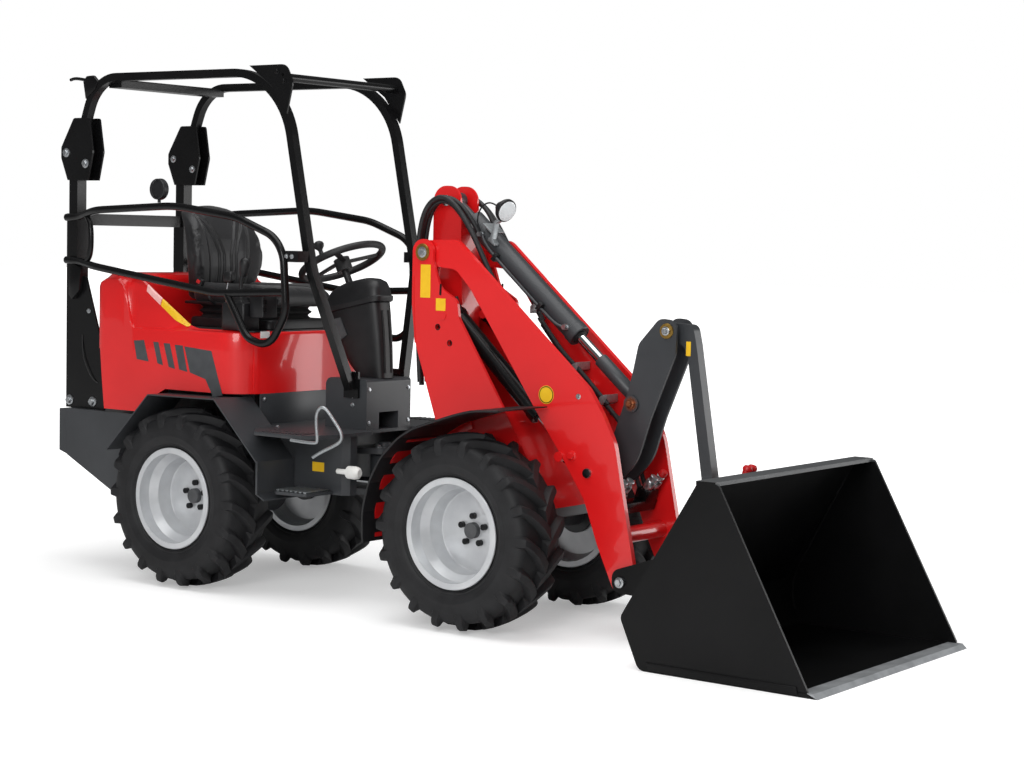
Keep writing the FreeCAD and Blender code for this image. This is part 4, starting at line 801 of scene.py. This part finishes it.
def inflated(name, bm, cap):
    """The pad's shape remeshed and swelled by cloth pressure, no point moving past cap metres."""
    mesh = modified(made_mesh(bm), "REMESH", mode="VOXEL", voxel_size=0.006)
    pad = in_scene(name, mesh)
    swell = pad.modifiers.new("swell", "CLOTH").settings
    for setting, value in {"quality": 5, "mass": 0.3, "tension_stiffness": 15,
                           "compression_stiffness": 15, "bending_stiffness": 2, "use_pressure": True,
                           "uniform_pressure_force": 4}.items():
        setattr(swell, setting, value)
    swell.effector_weights.gravity = 0
    for moment in range(1, 21):
        bpy.context.scene.frame_set(moment)
    bpy.context.view_layer.update()
    swelled = bpy.data.meshes.new_from_object(pad.evaluated_get(bpy.context.evaluated_depsgraph_get()))
    bpy.context.scene.frame_set(1)
    for vert, was in zip(swelled.vertices, mesh.vertices):
        moved = vert.co - was.co
        if moved.length > cap:
            vert.co = was.co + moved.normalized() * cap
    bpy.data.objects.remove(pad)
    mesh = swelled
    return modified(mesh, "SUBSURF", levels=1, render_levels=1)


def pressed_in(mesh, depth):
    """Moves each point in along its normal by depth(x, y, z, way) metres: seams and channels."""
    ways = [v.normal.copy() for v in mesh.vertices]
    for vert, way in zip(mesh.vertices, ways):
        x, y, z = vert.co
        vert.co -= way * depth((x + PIN_X) * 1000, abs(y * 1000), z * 1000, way)


def groove(distance, width, deep):
    """How deep a sewn channel is at a distance from its line."""
    return deep * math.exp(-(distance / width) ** 2)


def padded(name, mesh, *finishes, node):
    """A finished pad of the seat, standing for its node."""
    piece = finished(name, mesh, "rear_frame", "seat_vinyl", *finishes, sharp=80)
    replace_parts(piece, node)


SEAT_BACK = [(1199, -948, 150), (1240, -938, 172), (1290, -925, 196), (1350, -918, 214), (1410, -921, 220),
             (1470, -933, 214), (1530, -956, 196), (1580, -984, 172), (1624, -1016, 138)]
backrest = pillow((34, 205, 205), 30, 30)
for vert in backrest.verts:
    deep, across, up = vert.co
    z, v = 1411 + up, across / 205
    middle = along([(height, x) for height, x, _ in SEAT_BACK], z)
    wide = along([(height, w) for height, _, w in SEAT_BACK], z)
    hug = 30 * bank(0.45, 0.85, abs(v)) * math.sin(math.pi * bank(1215, 1600, z)) ** 0.7
    wrap = -18 * bank(0.82, 1.0, abs(v)) ** 2
    vert.co = spot(middle - 38 + deep + hug + wrap, v * wide, z - 26 * v * v * bank(1500, 1620, z))
mesh = inflated("backrest", backrest, 0.007)


def back_channels(x, y, z, way):
    """The backrest's bolster seams and the funnel of channels between them."""
    if way.x < 0.25:
        return 0.0
    seam = 118 - 10 * bank(1400, 1220, z) + 22 * bank(1390, 1600, z)
    deep = groove(y - seam, 5.0, 0.008)
    if 1225 < z < 1560:
        for start, bend in ((22, 86), (52, 96)):
            line = start + bend * max(0.0, (z - 1400) / 200) ** 1.25
            if line < seam - 8:
                deep += groove(y - line, 5.5, 0.009) * bank(1225, 1250, z) * bank(1560, 1535, z)
    return deep * bank(0.25, 0.5, way.x)


pressed_in(mesh, back_channels)
for face in mesh.polygons:
    face.material_index = 1 if face.normal.x < -0.55 else 0
padded("seat_back_pad", mesh, vinyl_black, moulded, node="seat_backrest")

cushion = pillow((232, 212, 30), 27, 30)
for vert in cushion.verts:
    front, across, up = vert.co
    v, u = across / 212, front / 232
    crown = (10 * (1 - v * v) + 17 * bank(0.55, 0.85, abs(v)) * bank(0.95, 0.5, u)) * bank(-20, 20, up)
    fall = -16 * bank(0.6, 1.0, u) ** 2
    vert.co = spot(-712 + front, v * (214 - 14 * bank(0.2, -1.0, u)), 1228 + up + crown + fall)
mesh = inflated("cushion", cushion, 0.006)


def seat_channels(x, y, z, way):
    """The cushion's bolster seams and the cross channels between them."""
    if way.z < 0.25:
        return 0.0
    deep = groove(y - 126, 4.5, 0.005)
    if y < 122:
        deep += sum(groove(x + 0.25 * y - c, 5.0, 0.005) for c in (-820, -740, -660, -580))
    return deep * bank(0.25, 0.5, way.z)


pressed_in(mesh, seat_channels)
padded("seat_cushion_pad", mesh, vinyl_black, node="seat_cushion")


def boxy(name, levels, half_x, half_y, centre, corner, finish=moulded, sharp=40):
    """A moulding lofted through rounded rectangles: levels are (z mm, inset mm)."""
    bm = bmesh.new()
    rings = []
    for z, inset in levels:
        ring = []
        for start, (sx, sy) in enumerate(((1, 1), (-1, 1), (-1, -1), (1, -1))):
            for k in range(7):
                a = (start + k / 6) * math.pi / 2
                ring.append(bm.verts.new(spot(
                    centre[0] + sx * (half_x - corner - inset) + corner * math.cos(a),
                    centre[1] + sy * (half_y - corner - inset) + corner * math.sin(a), z)))
        rings.append(ring)
    return finished(name, skinned(bm, rings), "rear_frame", "black_plastic", finish, sharp=sharp)


folds = [(1092, 2), (1097, 0)]
for z in (1101, 1131, 1161):
    folds += [(z, 1), (z + 9, 10), (z + 14, 13), (z + 19, 10), (z + 28, 1)]
boxy("seat_plinth", [(1092.6, 3), (1096, 0), (1124, 0), (1132, 4), (1134, 10)], 240, 208, (-706, 0), 26)
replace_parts(boxy("seat_boot", folds + [(1191, 0), (1193, 3)], 183, 188, (-745, 0), 40, rubber, 60),
            "seat_base")
pan = extruded([(-975, -205), (-530, -215), (-500, -190), (-500, 190), (-530, 215), (-975, 205)], 1188, 1201,
               4.0, "xy")
finished("seat_pan", pan, *on_cab, sharp=40)
red_plastic = satin_film("red_release_plastic", "C2181B", "B81518", 0.35)
buckle = extruded([(-872, 1262), (-848, 1300), (-826, 1292), (-846, 1252)], -246, -226, 4.0)
finished("belt_buckle", buckle, *on_cab, sharp=40)
release = extruded([(-866, 1283), (-857, 1297), (-838, 1290), (-846, 1276)], -248, -244, 1.2)
finished("belt_release", release, "rear_frame", "lamp_plastic", red_plastic)
bar("buckle_stalk", [(-832, -236, 1262), (-800, -240, 1235), (-790, -232, 1205), (-790, -205, 1192)], 6,
    *on_cab, 10, 8)
bar("tilt_handle_bar", [(-702, -226, 1195), (-690, -244, 1240), (-668, -250, 1290)], 4, "rear_frame",
    "bare_steel", zinc, 12, 8)
boxy("tilt_handle_knob", [(1286, 8), (1290, 3), (1300, 0), (1322, 0), (1332, 4), (1335, 9)], 24, 17,
     (-664, -250), 8)

# ---- console, steering column and wheel ----
# A moulded switch box with a gaitered loader lever; a steering shroud in two moulded halves
# with a lapped hood; a thick-rimmed wheel of foamed urethane with a spinner knob.
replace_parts(boxy("console_box", [(1092.4, 3), (1096, 0), (1196, 0), (1206, 4), (1210, 12)], 65, 51,
                 (-535, -313.5), 12), "control_console")
bar("loader_lever", [(-535, -312, 1236), (-538, -312, 1280), (-530, -311, 1322), (-524, -310, 1340)], 8,
    *on_cab, 14, 8)
grip = lathed((24, [(11, 0), (16, 6), (19, 24), (23, 46), (24, 60), (20, 72), (10, 79), (3, 80)]))
finished("loader_grip", placed(grip, Matrix.Rotation(math.radians(12), 3, "Y"), spot(-526, -310, 1318)),
         *on_cab, sharp=45)
boxy("switch_box", [(1150, 2), (1153, 0), (1268, 0), (1273, 4)], 40, 44, (-428, -290), 8)
for row, z in enumerate((1172, 1204, 1236)):
    finished(f"rocker_switch_{row}", extruded(box_of(-334, z, -314, z + 22), -390.5, -382.5, 2.0, "yz"),
             "rear_frame", "black_plastic", oxide)
boxy("lever_gaiter", [(1209, 0), (1216, 4), (1220, 9), (1226, 9), (1230, 14), (1238, 14), (1242, 18),
                      (1252, 19)], 30, 30, (-535, -312), 9, rubber, 60)
boxy("console_pad", [(1199, 6), (1203, 1), (1222, 0), (1230, 5), (1232, 12)], 90, 34, (-480, -258), 20)


def shroud(name, levels, lean=0.0):
    """A moulding lofted through rounded sections: (z, rear x, front x, half width, roundness)."""
    bm = bmesh.new()
    rings = []
    for z, rear, front, wide, power in levels:
        ring = []
        for c, s in circle(40):
            x = (rear + front) / 2 + math.copysign(abs(c) ** power, c) * (front - rear) / 2
            ring.append(bm.verts.new(spot(x, math.copysign(abs(s) ** power, s) * wide, z + lean * (x + 150))))
        rings.append(ring)
    return finished(name, skinned(bm, rings), *on_cab, sharp=40)


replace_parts(shroud("column_shroud", [
    (909, -122, 14, 50, 0.5), (960, -172, 12, 54, 0.5), (1030, -226, 8, 58, 0.5), (1100, -262, 2, 61, 0.5),
    (1170, -288, -6, 64, 0.5), (1222, -296, -14, 65, 0.5)]), "steering_column")
shroud("column_hood", [(1196, -306, -6, 66, 0.45), (1200, -312, -2, 71, 0.45), (1218, -318, -2, 73, 0.45),
                       (1224, -312, -8, 69, 0.5), (1252, -306, -14, 67, 0.5), (1282, -284, -28, 60, 0.55),
                       (1300, -256, -56, 47, 0.6), (1310, -222, -92, 32, 0.7)], 0.22)
for k, y in enumerate((-20, 20)):
    bar(f"column_rib_{k}", [(14, y, 930), (9, y, 1020), (3, y, 1110), (-8, y, 1190)], 5, *on_cab, 10, 10)
finished("column_label", extruded([(-258, 1141), (-200, 1154), (-164, 1082), (-214, 1048)], -65.4, -58.5),
         "rear_frame", "black_plastic", cap)
axis = Vector((-math.sin(math.radians(26)), 0, math.cos(math.radians(26))))
bar("column_stem", [tuple(Vector((-232, 0, 1348)) - axis * down) for down in (90, 46, 2)], 15,
    *on_cab, 20, 20)
# Foamed urethane rim: dull black with a leather-like pressed grain.
dressed("steering_wheel", finish_of("foamed_grip_black", "1A1A1B", "232324", 22.0, 0.55, 1300.0, 0.00018, 4))
spinner = lathed((24, [(14, 0), (14, 10), (11, 13), (9, 30), (9, 36), (13, 42), (20, 50), (23, 60), (20, 69),
                       (12, 75), (3, 77)]))
finished("spinner_knob", placed(spinner, axis.to_track_quat("Z", "Y").to_matrix(),
                                spot(-203, -170, 1393) + axis * 0.008),
         "steering_wheel", "black_plastic", moulded, sharp=45)

# ---- mast ----
# Welded plate in the same red enamel: two side plates carry the boom's pins, and a box column
# between them carries the tilt ram under a capped crown. Pins have brass end washers.

# Cast brass washers: dull yellow metal with a darker bloom.
yellow_brass = finish_of("brass", "B8934A", "94743A", 70.0, 0.36, 800.0, 0.00005, 2, {"Metallic": 0.9})
# Bare bronze bush metal: warm reddish brown, lightly tarnished.
bronze = finish_of("bronze_bush", "A66A48", "85523A", 70.0, 0.38, 800.0, 0.00005, 2, {"Metallic": 0.9})


def ringed(outer, inner, thick, sides=28):
    """A flat washer about Z, closed, with its hole."""
    return lathed((sides, ((inner, 0), (outer, 0), (outer, thick * 0.7), (outer - 1, thick), (inner, thick))),
                  ends=False, loop=True)


painted("mast", lambda x, y, z: int(abs(y) > 203.2 and math.hypot(x - 350, z - 1437) < 26), red, steel)
set_out("boom_pin_washers", "front_frame", "bare_steel", ringed(34, 18, 5), outward(203.2, (350, 1437)),
        yellow_brass)
bolts("boom_pin_bolts", "front_frame", 26, outward(206, (350, 1437)) + outward(66, (355, 1645)))
# Dark oxide rings round two holes in each side plate: painted shade, standing for the shaded insides of the
# holes.
set_out("mast_holes", "front_frame", "frame_black", ringed(12.5, 9, 1.6),
        outward(203, (432, 1143), (493, 1082)), oxide)
for side, word in hands:
    for name, outline, out, bevel, slot, finish in (
            ("label_tall", box_of(341, 1257, 391, 1388), 203.8, 0, "red_paint", yellow_film),
            ("label_small", box_of(421, 1208, 469, 1256), 203.8, 0, "red_paint", yellow_film),
            # the slot is a dark plate on the side plate: painted shade, standing for the shaded inside of a
            # slot
            ("slot", [(437, 1270), (447, 1268), (449, 1312), (440, 1314)], 204.4, 0.5, "frame_black", oxide)):
        finished(f"mast_{name}_{word}", extruded(outline, side * 203, side * out, bevel), "front_frame", slot,
                 finish)
    bar(f"mast_bead_{word}", [(306, side * 203, 1340), (308, side * 203.5, 1200), (318, side * 203.5, 1085)],
        3, "front_frame", "red_paint", red, 8, 12)

# ---- boom ----
# Two thick profiled arms, flame-cut with a rounded edge and enamelled red, tied by two tubes.
# A blank round label and painted bolts stand on the outer face of each.
dressed("boom", red)
for side, word in hands:
    for name, piece, finish in (("boom_label", lathed((40, [(35, 0), (35, 0.8)])), yellow_film),
                                ("boom_label_ring", ringed(33, 29.5, 1.2, 40), oxide)):
        placed(piece, Matrix.Rotation(-side * math.pi / 2, 3, "X"), spot(952, side * 184, 905))
        finished(f"{name}_{word}", piece, "boom", "red_paint", finish)
bolts("boom_bolts", "boom", 24, outward(184, (1076, 680)), red, "red_paint")
bolts("boom_small_bolts", "boom", 13, outward(184, (1101, 907)))
set_out("fulcrum_caps", "lever_shaft", "frame_black", lathed((28, [(17, 0), (17, 2), (15, 3)])),
        outward(192, (1150, 620)), oxide)

# ---- lever, link and their pins ----
# Twin flame-cut lever cheeks and a solid link bar in anthracite powder; the middle pin turns
# in a bronze bush, the top pin under a brass washer.
painted("tilt_lever", lambda x, y, z: int(abs(y) > 66 and math.hypot(x - 1262, z - 883) < 24), anthracite,
        bronze)
dressed("tilt_link", anthracite)
for name in ("lever_shaft", "link_shaft", "bucket_pivot_shaft"):
    dressed(name, steel)
bolts("mid_pin_bolts", "tilt_lever", 20, outward(74, (1262, 883)), bronze)
set_out("top_pin_washers", "link_shaft", "bare_steel", ringed(29, 12, 5), outward(61.4, (1410, 1165)),
        yellow_brass)
bolts("top_pin_bolts", "link_shaft", 20, outward(71, (1410, 1165)))
finished("link_label", extruded(box_of(1473, 1074, 1493, 1128), -23.8, -23), "tilt_link", "anthracite_paint",
         yellow_film)
bolts("pivot_bolts", "bucket_pivot", 24, outward(216, (1326, 227)))

# ---- rams ----
# Honed tube cases in black enamel (the tilt ram's in anthracite) with ground hard-chrome rods.
# Turned glands and rubber wipers close the cases, and a sleeve covers the tilt rod's end.

# Ground hard-chrome rod: a bright mirror with the faintest cloud of oil.
chrome = finish_of("hard_chrome", "D9DBDD", "C8CBCE", 20.0, 0.12, 2000.0, 0.00001, 2, {"Metallic": 1.0})
TILT_FOOT, TILT_EYE, LIFT_FOOT, LIFT_EYE = (355, 1645), (1262, 883), (455, 1190), (1020, 673)
for ram, finish, (ex, ez) in (("lift_ram_{}s", rops_black, LIFT_EYE), ("tilt_ram_{}", anthracite, TILT_EYE),
                              ("steering_ram_{}", rops_black, (90, 497))):
    dressed(ram.format("case"), finish)
    painted(ram.format("rod"), lambda x, y, z: int(math.hypot(x - ex, z - ez) < 36), chrome, rops_black)


def strut_frame(start, end):
    """A turning that lays Z along the side-view line between two (x, z) places."""
    way = Vector((end[0] - start[0], 0, end[1] - start[1])).normalized()
    return way, way.to_track_quat("Z", "Y").to_matrix()


def ring_on(name, body, start, end, y, distance, profile, finish, slot="frame_black"):
    """A turned collar about a ram's line, at a distance along it from its start."""
    way, turning = strut_frame(start, end)
    collar = placed(lathed((36, profile)), turning, spot(start[0], y, start[1]) + way * distance / 1000)
    finished(name, collar, body, slot, finish, sharp=40)


ring_on("tilt_gland", "tilt_case", TILT_FOOT, TILT_EYE, 0, 770, [(44, 0), (47, 2), (47, 37), (44, 40)],
        anthracite)
ring_on("tilt_wiper", "tilt_case", TILT_FOOT, TILT_EYE, 0, 809, [(30, 0), (30, 5), (25, 8), (21.5, 8)],
        rubber)
ring_on("tilt_rod_sleeve", "tilt_rod", TILT_FOOT, TILT_EYE, 0, 940,
        [(20.5, 0), (27, 1), (28, 4), (28, 196), (26, 200), (20.5, 200)], anthracite, "anthracite_paint")
for side, word in hands:
    ring_on(f"lift_gland_{word}", "lift_cases", LIFT_FOOT, LIFT_EYE, side * 108, 520,
            [(36, 0), (39, 2), (39, 38), (36, 41)], rops_black)
    ring_on(f"lift_wiper_{word}", "lift_cases", LIFT_FOOT, LIFT_EYE, side * 108, 559,
            [(26, 0), (26, 5), (21, 8), (18.5, 8)], rubber)

# ---- hydraulic hoses and lines ----
# Rubber hoses with a woven cover, clipped at both ends, and a steel line along the tilt case.
# The hoses that leave the front frame are drawn in place and ride on no body.

# Wire-braided hose with a wrapped cover: matt black with a fine cloth imprint.
hose = finish_of("hose_rubber", "18181A", "222224", 30.0, 0.55, 620.0, 0.0003, 0, cells=0.5)


def hose_piece(name, points, radius, body, finish=hose, slot="black_plastic"):
    """One clipped hose on a body, or one drawn in place on no body when given (body, body, start, end), whose
    bodies and points are not used.
    """
    if isinstance(body, str):
        return bar(name, points, radius, body, slot, finish, 14, 11, 4)
    piece = bar(name, points, radius, None, slot, finish, 14, 11, 4)
    tuple(spot(*body[2]))
    tuple(spot(*body[3]))
    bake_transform(piece)
    return piece


# up behind the mast's side plates, over beside the crown and down between the boom's arms
ARCH = [(276, 905), (268, 1010), (260, 1130), (256, 1240), (252, 1364), (256, 1478), (276, 1580),
        (318, 1636), (372, 1654), (424, 1636), (478, 1580), (530, 1508), (580, 1420), (640, 1320),
        (690, 1240), (730, 1180)]
ALONG_BOOM = [(724, 1186), (790, 1110), (850, 1040), (930, 985), (1000, 915), (1062, 860)]
for side, word, runs in ((-1, "right", ((1, 100, -6), (2, 122, 8))), (1, "left", ((1, 100, -6),))):
    for k, y, rise in runs:
        gap = side * y
        hose_piece(f"arch_hose_{word}_{k}", [(x + rise * 0.6, gap, z + rise) for x, z in ARCH], 10.5,
                   ("front_frame", "boom", (390, gap, 1500), (640, gap, 1500)))
    line = [(x + 5, side * 78, z + 8) for x, z in ARCH[:9]] + [
        (430, side * 76, 1636), (478, side * 70, 1586), (506, side * 64, 1540), (518, side * 56, 1512)]
    hose_piece(f"tilt_hose_{word}", line, 9.5,
               ("front_frame", "tilt_case", (380, side * 70, 1600), (506, side * 70, 1600)))
    for k, (y, drop) in enumerate(((78, 0), (100, -26))):
        hose_piece(f"boom_hose_{word}_{k}", [(x, side * y, z + drop) for x, z in ALONG_BOOM], 10, "boom")

# a rigid steel line along the tilt case, in pipe clips, from its rear fitting to its rod end
way_t, _ = strut_frame(TILT_FOOT, TILT_EYE)


def beside_tilt(distance, out, y):
    """A place beside the tilt case: so far along it, out above its line, and across."""
    x, z = TILT_FOOT
    return (x + way_t.x * distance - way_t.z * out, y, z + way_t.z * distance + way_t.x * out)


def beside_box(near, far, low, high):
    """A box's side-view outline beside the tilt case."""
    return [beside_tilt(d, out, 0)[::2] for d, out in ((near, low), (near, high), (far, high), (far, low))]


PIPE = ((216, 10, -50), (236, 4, -60), (270, -8, -62), (400, -14, -60), (560, -16, -58), (700, -18, -56),
        (742, -12, -52), (760, 4, -42))
hose_piece("tilt_pipe", [beside_tilt(*place) for place in PIPE], 6.5, "tilt_case", anthracite,
           "anthracite_paint")
for k, middle in enumerate((330, 620)):
    finished(f"pipe_clip_{k}", extruded(beside_box(middle - 9, middle + 9, -30, 4), -68, -38, 3.0),
             "tilt_case", "black_plastic", moulded)
union = lathed((6, [(13, 0), (13, 12)]), (20, [(9, 12), (9, 22)]), (6, [(11, 20), (11, 30)]))
set_out("tilt_unions", "tilt_case", "bare_steel", union,
        [(beside_tilt(214, 8, -40), right), (beside_tilt(206, 6, 40), left),
         (beside_tilt(168, 12, -40), right), (beside_tilt(762, 8, -40), right)], zinc)
# clamps that hold the hoses to the boom, with their screws
for side, word in hands:
    for k, (x, z) in enumerate(((700, 1225), (905, 1000), (1040, 880))):
        clamp = extruded([(x - 13, z - 24), (x + 13, z - 12), (x + 13, z + 20), (x - 13, z + 8)], side * 62,
                         side * 161, 3.0)
        finished(f"hose_clamp_{word}_{k}", clamp, "boom", "bare_steel", galv)
    hose_piece(f"lift_feed_{word}", [(448, side * 108, 1262), (470, side * 112, 1210),
                                     (500, side * 108, 1162), (520, side * 108, 1150)], 7, "lift_cases")

# ---- auxiliary couplings ----
# Quick couplings with zinc sleeves on black manifolds across the boom's nose, one with a red
# dust cap. Two capped pipes behind the bucket's top edge wait for them.
for side, word in hands:
    manifold = extruded([(1196, 500), (1246, 486), (1262, 540), (1212, 556)], side * 66, side * 150, 5.0)
    finished(f"manifold_{word}", manifold, "boom", "frame_black", rops_black)
finished("manifold_bar", extruded([(1190, 470), (1236, 458), (1250, 500), (1204, 512)], -158, 158, 4.0),
         "boom", "frame_black", rops_black)
coupling = lathed((28, [(15, 0), (15, 10)]),
                  (28, [(19, 10), (20, 12), (20, 38), (18, 41), (15, 42), (15, 50), (17, 52), (17, 60),
                        (12, 63), (9, 63)]))
facing = (0.62, 0, 0.78)
set_out("couplings", "boom", "bare_steel", coupling, [((1244, y, 548), facing) for y in (-128, -84, 84, 128)],
        zinc)
dust_cap = lathed((24, [(15, 0), (16, 2), (16, 18), (14, 23), (6, 25), (2, 25)]))
set_out("dust_caps", "boom", "lamp_plastic", dust_cap, [((1283, 128, 597), facing)], red_plastic)
# two capped couplers for the tool itself, on a bent pipe bracket behind the bucket's top edge
for k, y in enumerate((84, 118)):
    bar(f"tool_pipe_{k}", [(1652, y, 470), (1654, y, 520), (1668, y, 580), (1684, y, 640)], 8, "bucket_tool",
        "frame_black", oxide, 12, 9)
tool_cap = lathed((24, [(15, 0), (17, 2), (17, 20), (19, 22), (19, 30), (14, 38), (5, 40)]))
set_out("tool_caps", "bucket_tool", "lamp_plastic", tool_cap,
        [((1682, y, 634), (0.25, 0, 0.97)) for y in (84, 118)], red_plastic)
for side, word in hands:
    for k, y in enumerate((84, 128)):
        run = ((1062, 74 + 26 * k, 855 - 26 * k), (1120, 78 + 26 * k, 800), (1168, 84 + 24 * k, 720),
               (1190, 88 + 24 * k, 640), (1196, y, 580), (1214, y, 548))
        hose_piece(f"coupling_hose_{word}_{k}", [(x, side * out, z) for x, out, z in run], 9, "boom")

# ---- work lamp ----
# A round floodlight, its black bowl moulded with a stepped back round a clear lens. It rides
# on the tilt ram's case, on a bent galvanised bracket.
aiming = Vector((0.82, -0.18, -0.34)).normalized().to_track_quat("Z", "Y").to_matrix()
for name, parts, slot, finish, sharp in (
        ("bowl", ((36, [(20, -34), (30, -30), (44, -12), (47, -6), (47, 4)]),
                  (36, [(45, 2), (45, 6), (43, 8)])), "black_plastic", moulded, 40),
        ("pane", ((36, [(41, 5), (41, 9), (36, 11), (12, 12.4), (3, 12.6)]),), "lamp_plastic",
         lamp_clear, 60),
        ("back", ((36, [(16, -46), (20, -44), (20, -32)]),), "black_plastic", moulded, 40)):
    finished(f"work_lamp_{name}", placed(lathed(*parts), aiming, spot(643, -50, 1607)), "tilt_case", slot,
             finish, sharp=sharp)
stirrup = extruded([(566, 1490), (600, 1466), (604, 1476), (590, 1494), (604, 1556), (640, 1574), (636, 1582),
                    (596, 1566), (578, 1500), (570, 1500)], -66, -38, 1.5)
finished("work_lamp_bracket", stirrup, "tilt_case", "bare_steel", galv, sharp=30)
finished("work_lamp_foot", extruded(beside_box(196, 250, 43.6, 50), -58, 30, 1.5), "tilt_case", "bare_steel",
         galv, sharp=30)
hose_piece("work_lamp_cable", [(622, -58, 1612), (590, -62, 1640), (548, -64, 1640), (508, -60, 1596),
                               (500, -50, 1545), (520, -42, 1510)], 3.2, "tilt_case", moulded)

# ---- bucket ----
# Pressed and welded plate in satin black, with a bare wear edge welded on in front, a grey top
# flange and a wear strip along the foot of each side.

# Satin black machine enamel: very dark, scuffed a little greyer near its edges.
black_bucket = finish_of("bucket_enamel_black", "080809", "0D0D0E", 4.0, 0.4, 260.0, 0.00012, 3,
                         {"Specular IOR Level": 0.22}, ("4A4A4B", 0.002, 0.5))
# Bare rolled wear plate: cool grey, brushed along the machine and softly scaled.
wear = finish_of("wear_steel", "B4B7BA", "9A9DA0", 12.0, 0.45, 340.0, 0.0001, 2, {"Metallic": 0.55})
top_grey = powder_coat("flange_grey_powder", "4A4C4E", "414345", 0.45)


def bucket_part(x, y, z):
    """Which finish a bucket's face takes: enamel 0, wear edge 1, top flange 2."""
    if x > 2340 and z < 16.5:
        return 1
    return 2 if z > 671 and x > 1948 or z > 685.5 else 0


painted("bucket", bucket_part, black_bucket, wear, top_grey)
dressed("bucket_carrier", black_bucket)
for side, word in hands:
    wear_strip = extruded([(1700, 8), (2290, 8), (2282, 34), (1690, 34)], side * 585.8, side * 590, 1.2)
    finished(f"side_wear_strip_{word}", wear_strip, "bucket_tool", "bucket_black", black_bucket)
    seam = ((1640, 60), (1604, 150), (1700, 336), (1880, 672))
    bar(f"bucket_weld_{word}", [(x, side * 575, z) for x, z in seam], 4, "bucket_tool", "bucket_black",
        black_bucket, 8, 14)
edge_top = [(2290, 15.4), (2290, 17.2), (2345, 17.2), (2362, 1), (2361, 0.4), (2344, 15.6)]
finished("wear_edge", extruded(edge_top, -586, 586), "bucket_tool", "bare_steel", wear)
bar("edge_weld", [(2158, y, 12) for y in (-570, 0, 570)], 4, "bucket_tool", "bucket_black",
    black_bucket, 8, 14)
bolts("carrier_bolts", "bucket_tool", 22, outward(45.5, (1580, 560)))
